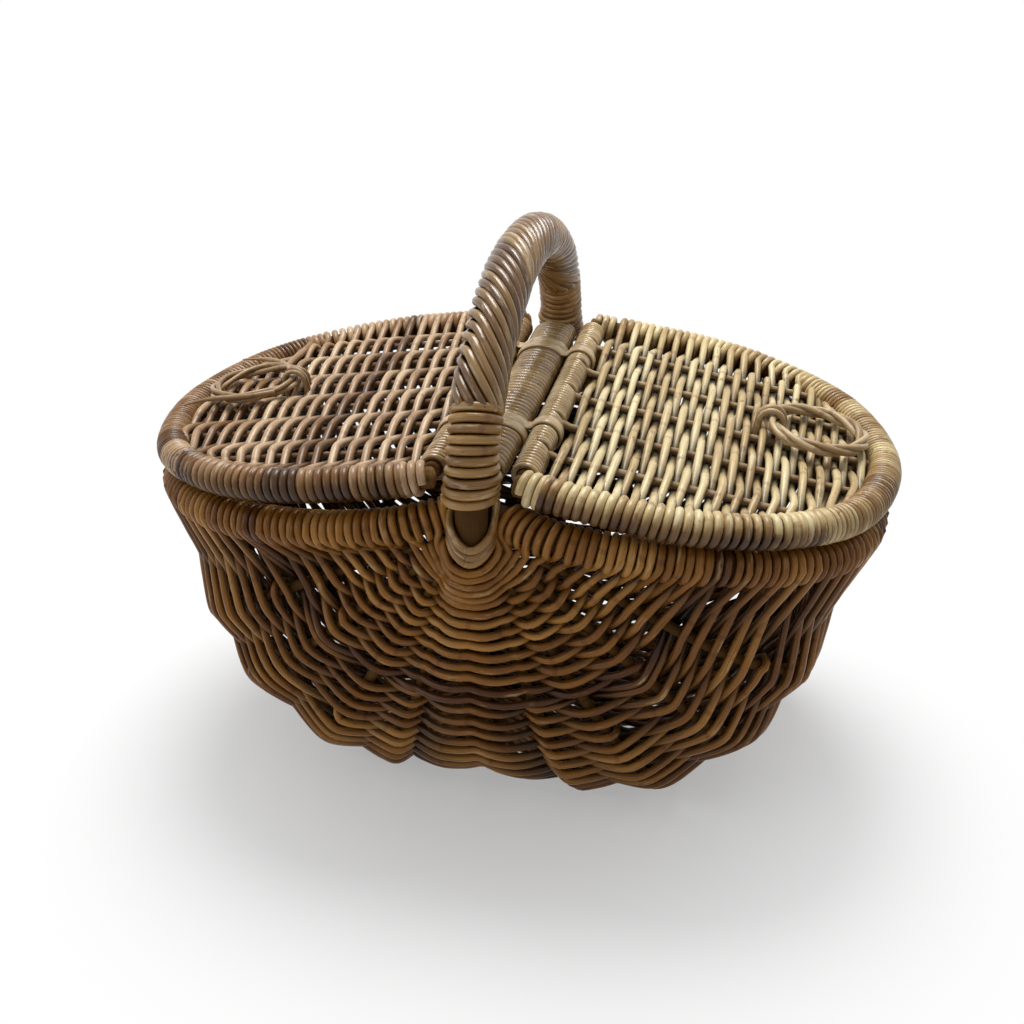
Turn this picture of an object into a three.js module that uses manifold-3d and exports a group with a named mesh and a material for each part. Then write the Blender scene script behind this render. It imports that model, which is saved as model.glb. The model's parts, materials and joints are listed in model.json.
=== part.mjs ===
// A lidded wicker picnic basket: two crossed hoops, eight bowed ribs, a woven body and two hinged lids.
// Sizes are in millimetres. Z is up and the origin is on the ground, below the middle of the basket.
// X runs along the basket, from the left lid to the right lid, and Y runs along the hinge bars.
import * as THREE from "three";
import { mergeVertices } from "three/addons/utils/BufferGeometryUtils.js";
import Module from "manifold-3d";

// Clearances and cuts
const clearance = 0.3;
const overrun = 2;

// Handle hoop: one bent rod that is the handle above the ears and the spine of the basket below them
const hoopRadius = 8.5;
const earHalfSpan = 130;
const archFootRise = 13.4;
const archRise = 99.1;
const archFullness = 0.9;
const spineReach = 172;
const spineHalfWidth = 127.6;
const hoopSides = 8;
const archSteps = 24;

// Rim hoop: the mouth of the basket, pressed in behind the handle at both ears
const rimRadius = 6.5;
const rimReach = 203;
const rimSwell = 1;
const rimFullness = 2.7;
const rimDroopFullness = 1.3;
const rimPinchLength = 30;
const rimSides = 6;

// Ribs, from the one below the rim to the one beside the spine
const ribRadius = 3;
const ribTipRadius = 1.4;
const ribStart = 40;
const ribReach = 212;
const ribReachShares = [0.958, 0.998, 1, 0.935];
const ribHalfWidthShares = [0.87, 0.91, 0.94, 0.965];
const ribAngles = [28, 43, 59.5, 73];
const ribFullness = 4.5;
const earEase = 0.35;

// Woven body: a skin one cane thick outside the ribs, which curls over the rim hoop
const caneThickness = 4;
const earOpening = 18.5;
const gatherRoom = 1.2;
const scallopDepth = 5;
const scallopSlope = 0.14;
const ridgeHalfWidth = 2.4;
const spineRidgeHalfWidth = 6;
const ridgeShare = 0.05;
const footCut = 1.6;
const gapSteps = 2;
const bodySteps = 9;
const curlSteps = 6;
const curlRoom = 0.2;
const curlFrom = -45;
const curlTo = 225;

// Bindings, each one unbroken helix round a foot of the handle, and the roped strands between them
const bindingLoops = 10;
const bindingPitch = 5.3;
const bindingWidth = 4.1;
const bindingDepth = 4.7;
const bindingRise = 4.6;
const strandCount = 12;
const strandTurns = 3;
const strandDepth = 4.5;
const strandValleyShare = 0.5;
const strandSpacing = 2.3;
const strandSteps = 26;
const strandRoom = 0.8;
const loopSteps = 9;
const bendRoom = 0.35;

// Ear lashings: one closed loop of cane round both hoops at each ear
const lashingRadius = 2.2;
const lashingDrop = 7;
const lashingSteps = 18;
const lashingTiltShare = 0.35;
const lashingFrontShares = [[0, 1, -1], [0.72, 0.72, -0.8], [1.02, 0, -0.1]];
const lashingBackShares = [[0.95, 0.5, 0.95], [0.6, -0.5, 1.05], [0, -1.02, 0.5]];

// Centre bar between the legs of the handle, with its winding of fine cane
const centreBarHalfWidth = 10.5;
const centreBarHalfHeight = 5.5;
const barWindingThickness = 3.2;
const centreBarShow = 3;
const barRise = 25.8;

// Lids
const lidBarOffset = 24.3;
const lidBarRadius = 4.6;
const lidBarShow = 1.5;
const lidSlope = 8.5;
const lidOverhang = 7;
const lidInset = 3;
const lidOutlineShares = [[0, 0.975], [0.213, 1], [0.462, 0.98], [0.714, 0.822], [0.913, 0.515], [1, 0]];
const lidRodRadius = 5;
const lidRodTail = 3;
const lidWrapTail = 2;
const lidWrapThickness = 4.9;
const lidCornerThickness = 1.8;
const lidTaperLength = 40;
const lidRodSteps = 28;
const lidRodSides = 6;
const lidPanelThickness = 12.6;
const weaveHollow = 3.2;
const rowPitch = 4.7;
const stakeRadius = 2.2;
const stakeSides = 6;
const rightStakePitch = 42;
const rightStakeCount = 5;
const leftStakePitch = 36;
const leftStakeCount = 6;

// Hinge bands: flat cane straps round a lid bar and the centre bar
const bandWidth = 7;
const bandThickness = 1.4;
const bandSteps = 7;
const rightBandPlace = 58;
const leftBandPlace = 66.5;

// Lift rings and the eyes that hold them
const ringRadius = 26.5;
const ringTubeRadius = 4;
const ringTubeSides = 8;
const ringSteps = 20;
const ringRimGap = 0.5;
const rightRingPlace = 8;
const leftRingPlace = 6;
const eyeRadius = 1.9;
const eyeTail = 1.5;
const eyeSteps = 8;
const eyeSides = 6;

// Colours, roughness
const bodyCane = { color: 0x8a5a2b, roughness: 0.5, metalness: 0 };
const lidCane = { color: 0xb39a72, roughness: 0.55, metalness: 0 };
const handleCane = { color: 0xa9773f, roughness: 0.45, metalness: 0 };
const rodWood = { color: 0x7b4d26, roughness: 0.6, metalness: 0 };
const bandCane = { color: 0xc2a878, roughness: 0.5, metalness: 0 };

const wasm = await Module();
wasm.setup();

const { cos, sin, abs, min, max, sqrt, PI } = Math;
const radians = THREE.MathUtils.degToRad;
const vec = (x, y, z) => new THREE.Vector3(x, y, z);
const up = vec(0, 0, 1);

// Places worked out from the sizes above
const around = (radius, sides) => radius + clearance / cos(PI / sides);
const ribCover = ribRadius + clearance;
const hoopCover = hoopRadius + clearance;
const windingSeat = hoopCover / cos(PI / loopSteps) + bendRoom;
const curlInner = (rimRadius + clearance) / cos(radians((curlTo - curlFrom) / curlSteps / 2)) + curlRoom;
const curlOuter = curlInner + caneThickness;
const earHeight = max(...ribReachShares.map((share, i) =>
  (ribReach * share + ribCover + caneThickness) * sin(radians(ribAngles[i])))) - footCut;
const barHeight = earHeight + barRise;
const barWindingRadius = lidBarRadius + clearance + barWindingThickness;
const lidWrapRadius = lidRodRadius + clearance + lidWrapThickness;
const lidCornerRadius = lidRodRadius + clearance + lidCornerThickness;
const rimHalfWidth = earHalfSpan + rimSwell;
const lidHalfWidth = rimHalfWidth - lidInset;
const lidEnd = rimReach + lidOverhang;
const lidReach = (lidEnd - lidBarOffset) / cos(radians(lidSlope));
const lidEndDrop = lidReach * sin(radians(lidSlope));
const ringEyeReach = lidReach - lidWrapRadius - ringRimGap - ringTubeRadius - 2 * ringRadius;
const rimSeat = curlOuter + lidWrapRadius + 2 * clearance;
const rimDroop = lidEndDrop + sqrt(rimSeat ** 2 - lidOverhang ** 2) - barRise;
const rimPinch = rimHalfWidth - (earHalfSpan - hoopRadius - clearance - rimRadius);

// Builds a geometry from corner points and triangles, turned so that its faces point out.
function closedGeometry(points, triangles) {
  let volume = 0;
  for (const [a, b, c] of triangles)
    volume += points[a].dot(vec().crossVectors(points[b], points[c]));
  const index = triangles.flatMap(([a, b, c]) => (volume < 0 ? [a, c, b] : [a, b, c]));
  const geometry = new THREE.BufferGeometry().setFromPoints(points).setIndex(index);
  geometry.computeVertexNormals();
  return geometry;
}

// Joins rings of points into a tube. An open tube gets a flat cap on each end.
function loft(rings, closed = false) {
  const sides = rings[0].length;
  const points = rings.flat();
  const triangles = [];
  const spans = closed ? rings.length : rings.length - 1;
  for (let i = 0; i < spans; i++)
    for (let k = 0; k < sides; k++) {
      const a = i * sides + k;
      const b = i * sides + ((k + 1) % sides);
      const c = ((i + 1) % rings.length) * sides + k;
      const d = ((i + 1) % rings.length) * sides + ((k + 1) % sides);
      triangles.push([a, b, d], [a, d, c]);
    }
  if (!closed)
    for (let k = 1; k < sides - 1; k++) {
      const last = (rings.length - 1) * sides;
      triangles.push([0, k + 1, k], [last, last + k, last + k + 1]);
    }
  return closedGeometry(points, triangles);
}

// Joins two skins of points, row by row, into a sheet with a real thickness and closed edges.
function sheet(outerRows, innerRows) {
  const width = outerRows[0].length;
  const rows = outerRows.length;
  const points = [...outerRows.flat(), ...innerRows.flat()];
  const outer = (i, j) => i * width + j;
  const inner = (i, j) => rows * width + i * width + j;
  const triangles = [];
  const quad = (a, b, c, d) => triangles.push([a, b, c], [a, c, d]);
  for (let i = 0; i < rows - 1; i++)
    for (let j = 0; j < width - 1; j++) {
      quad(outer(i, j), outer(i, j + 1), outer(i + 1, j + 1), outer(i + 1, j));
      quad(inner(i, j), inner(i + 1, j), inner(i + 1, j + 1), inner(i, j + 1));
    }
  for (let i = 0; i < rows - 1; i++) {
    quad(outer(i, 0), outer(i + 1, 0), inner(i + 1, 0), inner(i, 0));
    quad(outer(i + 1, width - 1), outer(i, width - 1), inner(i, width - 1), inner(i + 1, width - 1));
  }
  for (let j = 0; j < width - 1; j++) {
    quad(outer(0, j + 1), outer(0, j), inner(0, j), inner(0, j + 1));
    quad(outer(rows - 1, j), outer(rows - 1, j + 1), inner(rows - 1, j + 1), inner(rows - 1, j));
  }
  return closedGeometry(points, triangles);
}

// Joins an outer and an inner skin of rings into a tube with a real wall.
function sleeve(outerRings, innerRings) {
  const sides = outerRings[0].length;
  const last = outerRings.length - 1;
  const points = [...outerRings.flat(), ...innerRings.flat()];
  const outer = (i, k) => i * sides + (k % sides);
  const inner = (i, k) => (last + 1 + i) * sides + (k % sides);
  const triangles = [];
  const quad = (a, b, c, d) => triangles.push([a, b, d], [b, c, d]);
  for (let k = 0; k < sides; k++) {
    for (let i = 0; i < last; i++) {
      quad(outer(i, k), outer(i, k + 1), outer(i + 1, k + 1), outer(i + 1, k));
      quad(inner(i, k + 1), inner(i, k), inner(i + 1, k), inner(i + 1, k + 1));
    }
    quad(outer(0, k + 1), outer(0, k), inner(0, k), inner(0, k + 1));
    quad(outer(last, k), outer(last, k + 1), inner(last, k + 1), inner(last, k));
  }
  return closedGeometry(points, triangles);
}

// The directions of a path at each of its points. A closed path has no ends.
function tangents(points, closed) {
  const n = points.length;
  return points.map((_, i) => {
    const before = closed ? points[(i + n - 1) % n] : points[max(i - 1, 0)];
    const after = closed ? points[(i + 1) % n] : points[min(i + 1, n - 1)];
    return vec().subVectors(after, before).normalize();
  });
}

// Rings of a round rod along a path in or near the plane that has the given normal.
function rodRings(points, normal, radiusAt, sides, closed = false) {
  const along = tangents(points, closed);
  return points.map((point, i) => {
    const side = vec().crossVectors(along[i], normal).normalize();
    const rise = vec().crossVectors(side, along[i]);
    const radius = radiusAt(i);
    return Array.from({ length: sides }, (_, k) => {
      const turn = (2 * PI * k) / sides;
      return point.clone().addScaledVector(side, radius * cos(turn)).addScaledVector(rise, radius * sin(turn));
    });
  });
}

function rod(points, normal, radius, sides, closed = false) {
  return loft(rodRings(points, normal, () => radius, sides, closed), closed);
}

// Changes between a mesh's geometry and a solid that can be joined and cut.
function toSolid(geometry) {
  const bare = geometry.clone();
  bare.deleteAttribute("normal");
  bare.deleteAttribute("uv");
  const merged = mergeVertices(bare);
  const mesh = new wasm.Mesh({
    numProp: 3,
    vertProperties: merged.attributes.position.array,
    triVerts: new Uint32Array(merged.index.array),
  });
  return new wasm.Manifold(mesh);
}

function toGeometry(solid) {
  const mesh = solid.getMesh();
  const geometry = new THREE.BufferGeometry();
  geometry.setAttribute("position", new THREE.BufferAttribute(mesh.vertProperties, 3));
  geometry.setIndex(new THREE.BufferAttribute(mesh.triVerts, 1));
  geometry.computeVertexNormals();
  return geometry;
}

function piece(name, geometry, finish) {
  const mesh = new THREE.Mesh(geometry, new THREE.MeshStandardMaterial(finish));
  mesh.name = name;
  return mesh;
}

// A bowed curve from ear to ear in its own plane: how far out it is, and how far along Y, at a turn
// from 0 at the near ear to PI at the far one.
function bow(turn, reach, halfWidth) {
  const full = ribFullness;
  const round = ((abs(cos(turn)) / halfWidth) ** full + (sin(turn) / reach) ** full) ** (-1 / full);
  const nearest = min(turn, PI - turn);
  const gather = 1 - (1 - earHalfSpan / halfWidth) * Math.exp(-((nearest / earEase) ** 2));
  const radius = round * gather;
  return [radius * sin(turn), -radius * cos(turn)];
}

// The members from the rim to the spine on one side: a point, its outward normal and its sideways
// direction, which points away from the spine.
function member(order, side, turn) {
  const isSpine = order === ribAngles.length;
  const angle = isSpine ? PI / 2 : radians(ribAngles[order]);
  const reach = isSpine ? spineReach : ribReach * ribReachShares[order];
  const halfWidth = isSpine ? spineHalfWidth : earHalfSpan * ribHalfWidthShares[order];
  const step = 1e-3;
  const [out, along] = bow(turn, reach, halfWidth);
  const [outA, alongA] = bow(turn - step, reach, halfWidth);
  const [outB, alongB] = bow(turn + step, reach, halfWidth);
  const length = Math.hypot(outB - outA, alongB - alongA);
  const normalOut = (alongB - alongA) / length;
  const normalAlong = -(outB - outA) / length;
  const lean = vec(isSpine ? 0 : side * cos(angle), 0, -sin(angle));
  const point = vec(0, along, earHeight).addScaledVector(lean, out);
  const normal = vec(0, normalAlong, 0).addScaledVector(lean, normalOut);
  const sideways = vec(side * sin(angle), 0, isSpine ? 0 : cos(angle));
  return { point, normal, sideways, out };
}

// The rim hoop's centre line on one side, and its outward direction in plan.
function rimPoint(side, turn) {
  const full = rimFullness;
  const s = max(sin(turn), 0);
  const radius = ((abs(cos(turn)) / rimHalfWidth) ** full + (s / rimReach) ** full) ** (-1 / full);
  const x = radius * s;
  const pinch = rimPinch * Math.exp(-((x / rimPinchLength) ** 2));
  const y = -Math.sign(cos(turn)) * (radius * abs(cos(turn)) - pinch);
  return vec(side * x, abs(cos(turn)) < 1e-9 ? 0 : y, earHeight - rimDroop * s ** rimDroopFullness);
}

function rimOutward(side, turn) {
  const step = 1e-3;
  const way = vec().subVectors(rimPoint(side, turn + step), rimPoint(side, turn - step));
  return vec(side * way.y, -side * way.x, 0).normalize();
}

// The turns at which the body, the ribs and both hoops have their sections.
const earTurn = (reach) => Math.asin(reach / earHalfSpan);
const firstTurns = [earTurn(earOpening), earTurn((earOpening + ribStart) / 2), earTurn(ribStart)];
const bodyTurns = [...firstTurns];
for (let i = 1; i <= bodySteps; i++)
  bodyTurns.push(firstTurns[2] + ((PI / 2 - firstTurns[2]) * i) / bodySteps);
for (let i = bodyTurns.length - 2; i >= 0; i--) bodyTurns.push(PI - bodyTurns[i]);

// The nearest place on the centre line of the handle hoop, which the gathered canes pass outside.
const spinePath = bodyTurns.map((turn) => member(ribAngles.length, 1, turn).point);
const hoopPath = [vec(0, -earHalfSpan, earHeight), ...spinePath, vec(0, earHalfSpan, earHeight)];
function nearestOnHoop(point) {
  let best = null;
  for (let i = 1; i < hoopPath.length; i++) {
    const line = new THREE.Line3(hoopPath[i - 1], hoopPath[i]);
    const found = line.closestPointToPoint(point, true, vec());
    if (!best || found.distanceTo(point) < best.distanceTo(point)) best = found;
  }
  return best;
}

// One section of the woven body on one side, from the inner end of the curl over the rim hoop to the
// spine, as pairs of outer and inner points.
function bodySection(side, turn) {
  const pairs = [];
  const rim = rimPoint(side, turn);
  const outward = rimOutward(side, turn);
  for (let k = curlSteps; k >= 0; k--) {
    const bend = radians(curlFrom + ((curlTo - curlFrom) * k) / curlSteps);
    const way = outward.clone().multiplyScalar(cos(bend)).addScaledVector(up, sin(bend));
    const outer = rim.clone().addScaledVector(way, curlOuter);
    const inner = rim.clone().addScaledVector(way, curlInner);
    pairs.push([outer, inner]);
  }
  const spine = ribAngles.length;
  for (let order = 0; order <= spine; order++) {
    const { point, normal, sideways, out } = member(order, side, turn);
    const lastRib = out * cos(radians(ribAngles[spine - 1]));
    const x = abs(point.x);
    const overHoop = x < hoopCover ? sqrt(hoopCover ** 2 - x ** 2) : 0;
    const cover = order === spine ? hoopCover : max(ribCover, overHoop);
    const half = order === spine ? min(spineRidgeHalfWidth, lastRib / 2) : min(ridgeHalfWidth, out * ridgeShare);
    const ridge = (shift, depth) =>
      point.clone().addScaledVector(normal, depth).addScaledVector(sideways, shift);
    const next = [ridge(half, cover + caneThickness), ridge(half, cover)];
    const [lastOuter, lastInner] = pairs[pairs.length - 1];
    const span = lastInner.distanceTo(next[1]);
    const dip = min(scallopDepth, scallopSlope * span);
    for (let k = 1; k < gapSteps; k++) {
      const share = k / gapSteps;
      const outer = vec().lerpVectors(lastOuter, next[0], share);
      const inner = vec().lerpVectors(lastInner, next[1], share);
      const inward = vec().subVectors(inner, outer).normalize();
      pairs.push([outer.addScaledVector(inward, dip), inner.addScaledVector(inward, dip)]);
    }
    pairs.push(next);
    if (order < spine) pairs.push([ridge(-half, cover + caneThickness), ridge(-half, cover)]);
  }
  for (const [outer, inner] of pairs) {
    const core = nearestOnHoop(inner);
    const away = vec().subVectors(inner, core);
    const short = hoopCover + gatherRoom - away.length();
    if (short > 0) {
      away.normalize();
      inner.addScaledVector(away, short);
      outer.addScaledVector(away, short);
    }
    outer.z = max(outer.z, 0);
  }
  return pairs;
}

function wovenBody() {
  const sections = bodyTurns.map((turn) => {
    const right = bodySection(1, turn);
    const left = bodySection(-1, turn).reverse();
    return [...right, ...left];
  });
  return sheet(sections.map((s) => s.map((p) => p[0])), sections.map((s) => s.map((p) => p[1])));
}

function rib(order, side) {
  const turns = bodyTurns.slice(2, -2);
  const rings = turns.map((turn, i) => {
    const { point, normal, sideways } = member(order, side, turn);
    const radius = i === 0 || i === turns.length - 1 ? ribTipRadius : ribRadius;
    return Array.from({ length: 6 }, (_, k) => {
      const a = (2 * PI * (k + 0.5)) / 6;
      return point.clone().addScaledVector(normal, radius * sin(a)).addScaledVector(sideways, radius * cos(a));
    });
  });
  return loft(rings);
}

// The arch of the handle from the near ear to the far one.
class Arch extends THREE.Curve {
  getPoint(t, target = vec()) {
    const turn = PI * t;
    const rise = archRise * max(sin(turn), 0) ** archFullness;
    return target.set(0, -earHalfSpan * cos(turn), earHeight + archFootRise + rise);
  }
}
const arch = new Arch();
const archLength = arch.getLength();

function handleHoop() {
  const points = [];
  for (let i = 0; i <= archSteps; i++) points.push(arch.getPointAt(i / archSteps));
  points.push(vec(0, earHalfSpan, earHeight));
  const spine = ribAngles.length;
  for (const turn of [...bodyTurns].reverse()) points.push(member(spine, 1, turn).point);
  points.push(vec(0, -earHalfSpan, earHeight));
  return rod(points, vec(1, 0, 0), hoopRadius, hoopSides, true);
}

function rimHoop() {
  const crossing = earTurn(earOpening / 2);
  const turns = [0, crossing, ...bodyTurns, PI - crossing];
  const right = turns.map((turn) => rimPoint(1, turn));
  const left = turns.map((turn) => rimPoint(-1, PI - turn));
  return rod([...right, ...left], up, rimRadius, rimSides, true);
}

// A helix round the arch between two distances from its near end, with an oblong section.
function winding(from, to, loops, depth, width) {
  const count = loops * loopSteps;
  const across = vec(1, 0, 0);
  const centre = [];
  const outs = [];
  for (let i = 0; i <= count; i++) {
    const at = min(max((from + ((to - from) * i) / count) / archLength, 0), 1);
    const along = arch.getTangentAt(at);
    const normal = vec().crossVectors(across, along).normalize();
    const turn = (2 * PI * i) / loopSteps;
    const out = normal.multiplyScalar(cos(turn)).addScaledVector(across, sin(turn));
    outs.push(out);
    centre.push(arch.getPointAt(at).addScaledVector(out, windingSeat + depth / 2));
  }
  const along = tangents(centre, false);
  return centre.map((point, i) => {
    const wide = vec().crossVectors(along[i], outs[i]).normalize();
    const corners = [[-1, 0], [-0.5, 1], [0.5, 1], [1, 0], [0.5, -1], [-0.5, -1]];
    return corners.map(([w, d]) =>
      point.clone().addScaledVector(wide, (w * width) / 2).addScaledVector(outs[i], (d * depth) / 2));
  });
}

// The least distance between two turns of a winding, measured between the corners of its sections.
function leastGap(rings) {
  let least = Infinity;
  for (let i = 0; i < rings.length; i++)
    for (let j = i + loopSteps - 2; j <= min(i + loopSteps + 2, rings.length - 1); j++)
      for (const a of rings[i])
        for (const b of rings[j]) least = min(least, a.distanceTo(b));
  return least;
}

function wound(name, rings) {
  console.log(name + " least gap between turns " + leastGap(rings).toFixed(2) + " mm");
  return piece(name, loft(rings), handleCane);
}

// The roped strands: one sleeve whose lobes, one for each cane, twist together along the arch.
function ropedStrands(from, to) {
  const seat = around(hoopRadius, 2 * strandCount) + strandRoom;
  const across = vec(1, 0, 0);
  const skin = (depthAt) => Array.from({ length: strandSteps + 1 }, (_, i) => {
    const share = i / strandSteps;
    const at = (from + (to - from) * share) / archLength;
    const normal = vec().crossVectors(across, arch.getTangentAt(at)).normalize();
    return Array.from({ length: 2 * strandCount }, (_, k) => {
      const turn = (PI * k) / strandCount - 2 * PI * strandTurns * share;
      const out = normal.clone().multiplyScalar(cos(turn)).addScaledVector(across, sin(turn));
      return arch.getPointAt(at).addScaledVector(out, seat + depthAt(k));
    });
  });
  return sleeve(skin((k) => (k % 2 ? strandDepth * strandValleyShare : strandDepth)), skin(() => 0));
}

// A closed loop of cane that crosses the front of the handle hoop low and passes over the rim hoop.
function earLashing(end) {
  const aroundHoop = hoopRadius + clearance + lashingRadius;
  const aroundRim = rimRadius + clearance + lashingRadius;
  const rimY = earHalfSpan - hoopRadius - clearance - rimRadius;
  const half = [
    ...lashingFrontShares.map(([x, y, z]) => [x * aroundHoop, earHalfSpan + y * aroundHoop, z * lashingDrop]),
    ...lashingBackShares.map(([x, y, z]) => [x * aroundHoop, rimY + y * aroundRim, z * aroundRim]),
  ];
  const other = half.slice(1, -1).reverse().map(([x, y, z]) => [-x, y, z]);
  const corners = [...half, ...other].map(([x, y, z]) => vec(x, end * y, earHeight + z));
  const curve = new THREE.CatmullRomCurve3(corners, true, "centripetal");
  const points = curve.getSpacedPoints(lashingSteps).slice(0, -1);
  return rod(points, vec(0, end * lashingTiltShare, 1).normalize(), lashingRadius, 6, true);
}

// An oval or round sleeve along Y, or the solid bar inside it.
function barGeometry(halfWidth, halfHeight, halfLength, wall = 0) {
  const shape = new THREE.Shape().absellipse(0, 0, halfWidth, halfHeight, 0, 2 * PI);
  if (wall > 0) {
    const bore = new THREE.Path().absellipse(0, 0, halfWidth - wall, halfHeight - wall, 0, 2 * PI, true);
    shape.holes.push(bore);
  }
  const options = { depth: 2 * halfLength, bevelEnabled: false, curveSegments: 12, steps: 1 };
  return new THREE.ExtrudeGeometry(shape, options).translate(0, 0, -halfLength).rotateX(PI / 2);
}

const legShare = (barHeight + centreBarHalfHeight - earHeight - archFootRise) / archRise;
const legSpan = earHalfSpan * cos(Math.asin(legShare ** (1 / archFullness)));
const centreBarHalfLength = legSpan - windingSeat - bindingDepth - 2 * clearance;
const centreWindingHalfWidth = centreBarHalfWidth + clearance + barWindingThickness;
const centreWindingHalfHeight = centreBarHalfHeight + clearance + barWindingThickness;

// A flat strap that runs round the centre bar and the lid bar on one side.
function hingeBand(side) {
  const loop = (grow) => {
    const points = [];
    for (let i = 0; i <= bandSteps; i++) {
      const turn = PI / 2 + (PI * i) / bandSteps;
      points.push(new THREE.Vector2(
        (centreWindingHalfWidth + grow) * cos(turn), (centreWindingHalfHeight + grow) * sin(turn)));
    }
    for (let i = 0; i <= bandSteps; i++) {
      const turn = -PI / 2 + (PI * i) / bandSteps;
      const radius = barWindingRadius + grow;
      points.push(new THREE.Vector2(lidBarOffset + radius * cos(turn), radius * sin(turn)));
    }
    return side > 0 ? points : points.map((p) => new THREE.Vector2(-p.x, p.y)).reverse();
  };
  const seat = 2 * clearance;
  const shape = new THREE.Shape(loop(seat + bandThickness));
  shape.holes.push(new THREE.Path(loop(seat)));
  const geometry = new THREE.ExtrudeGeometry(shape, { depth: bandWidth, bevelEnabled: false, steps: 1 });
  return geometry.translate(0, 0, -bandWidth / 2).rotateX(PI / 2);
}

// A lid in its own frame: X runs out from the lid bar's axis along the lid, Y along the bar and Z up
// from the lid's middle plane.
const lidHalfPanel = lidPanelThickness / 2;
const lidKnots = [
  ...lidOutlineShares.map(([out, across]) => [out, -across]),
  ...lidOutlineShares.slice(0, -1).reverse(),
].map(([out, across]) => new THREE.Vector2(out * lidReach, across * lidHalfWidth));
const lidOutline = new THREE.SplineCurve(lidKnots).getSpacedPoints(lidRodSteps);

function lidPath(tail) {
  const flat = (p, shift = 0) => vec(p.x - shift, p.y, 0);
  const first = flat(lidOutline[0], tail);
  const last = flat(lidOutline[lidOutline.length - 1], tail);
  return [first, ...lidOutline.map((p) => flat(p)), last];
}

// How thick the wrapped rim of a lid is at each point of its path: it swells away from the bar.
function lidWrapAt(path) {
  return (i) => {
    const share = min(max(path[i].x, 0) / lidTaperLength, 1);
    return lidCornerRadius + (lidWrapRadius - lidCornerRadius) * share;
  };
}

const panelStart = barWindingRadius + 2 * clearance + bandThickness + 2 * clearance;

// The furthest a stake reaches before it meets the rod in the lid's rim.
function stakeEnd(y) {
  const room = lidRodRadius + 2 * clearance;
  const clear = (x) => [-stakeRadius, stakeRadius].every((shift) =>
    lidOutline.every((p, i) => {
      if (i === 0) return true;
      const a = lidOutline[i - 1];
      const line = new THREE.Line3(vec(a.x, a.y, 0), vec(p.x, p.y, 0));
      const probe = vec(x, y + shift, 0);
      return line.closestPointToPoint(probe, true, vec()).distanceTo(probe) > room;
    }));
  let x = panelStart;
  while (clear(x + clearance)) x += clearance;
  return x;
}

function stakeGeometry(from, to, y, radius) {
  const path = [vec(from, y, 0), vec(to, y, 0)];
  return rod(path, up, radius, stakeSides);
}

const stakePlaces = (count, pitch) =>
  Array.from({ length: count }, (_, i) => (i - (count - 1) / 2) * pitch);

const ringHeight = lidHalfPanel + clearance + ringTubeRadius;
const eyeSpread = ringTubeRadius + 2 * clearance + eyeRadius;

function eyePath(place) {
  const bottom = -lidHalfPanel - eyeTail;
  const points = [vec(ringEyeReach - eyeSpread, place, bottom)];
  for (let i = 0; i <= eyeSteps; i++) {
    const turn = PI - (PI * i) / eyeSteps;
    points.push(vec(ringEyeReach + eyeSpread * cos(turn), place, ringHeight + eyeSpread * sin(turn)));
  }
  points.push(vec(ringEyeReach + eyeSpread, place, bottom));
  return points;
}

// The rows of a lid's weave, out from its bar: each passes over one stake and under the next, so that
// the panel's top rises where a row is on top of a stake and is hollow elsewhere.
function wovenRows(places) {
  const halfPitch = (places[1] - places[0]) / 2;
  const edge = lidHalfWidth + overrun;
  const columns = [{ y: -edge }, { y: places[0] - halfPitch }];
  places.forEach((y, k) => columns.push({ y, stake: k }, { y: y + halfPitch }));
  columns.push({ y: edge });
  const rows = Math.ceil((lidReach + overrun - panelStart) / rowPitch);
  const skin = (heightAt) => Array.from({ length: rows + 1 }, (_, i) =>
    columns.map(({ y, stake }) => vec(panelStart + i * rowPitch, y, heightAt(i, stake))));
  const over = (i, stake) => stake !== undefined && (i + stake) % 2 === 0;
  const top = skin((i, stake) => (over(i, stake) ? lidHalfPanel : lidHalfPanel - weaveHollow));
  return toSolid(sheet(top, skin(() => -lidHalfPanel)));
}

function lidWeave(places, ringPlace) {
  const inside = lidOutline.filter((p) => p.x > panelStart);
  const corner = (p) => new THREE.Vector2(panelStart, p.y);
  const border = [corner(inside[0]), ...inside, corner(inside[inside.length - 1])];
  const plate = new THREE.ExtrudeGeometry(new THREE.Shape(border), {
    depth: lidPanelThickness, bevelEnabled: false, steps: 1,
  }).translate(0, 0, -lidHalfPanel);
  const wrapPath = lidPath(lidWrapTail);
  const panel = toSolid(plate).intersect(wovenRows(places));
  let solid = panel.add(toSolid(loft(rodRings(wrapPath, up, lidWrapAt(wrapPath), 8))));
  solid = solid.subtract(toSolid(rod(lidPath(lidRodTail + overrun), up, around(lidRodRadius, lidRodSides), lidRodSides)));
  for (const y of places) {
    const hole = stakeGeometry(panelStart - overrun, stakeEnd(y) + overrun, y, around(stakeRadius, stakeSides));
    solid = solid.subtract(toSolid(hole));
  }
  for (const side of [-1, 1]) {
    const x = ringEyeReach + side * eyeSpread;
    const ends = [-1, 1].map((way) => vec(x, ringPlace, way * (lidHalfPanel + overrun)));
    solid = solid.subtract(toSolid(rod(ends, vec(0, 1, 0), around(eyeRadius, eyeSides), eyeSides)));
  }
  return toGeometry(solid);
}

const lidBarHalfLength = lidKnots[0].y * -1 - barWindingRadius - clearance;

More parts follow.
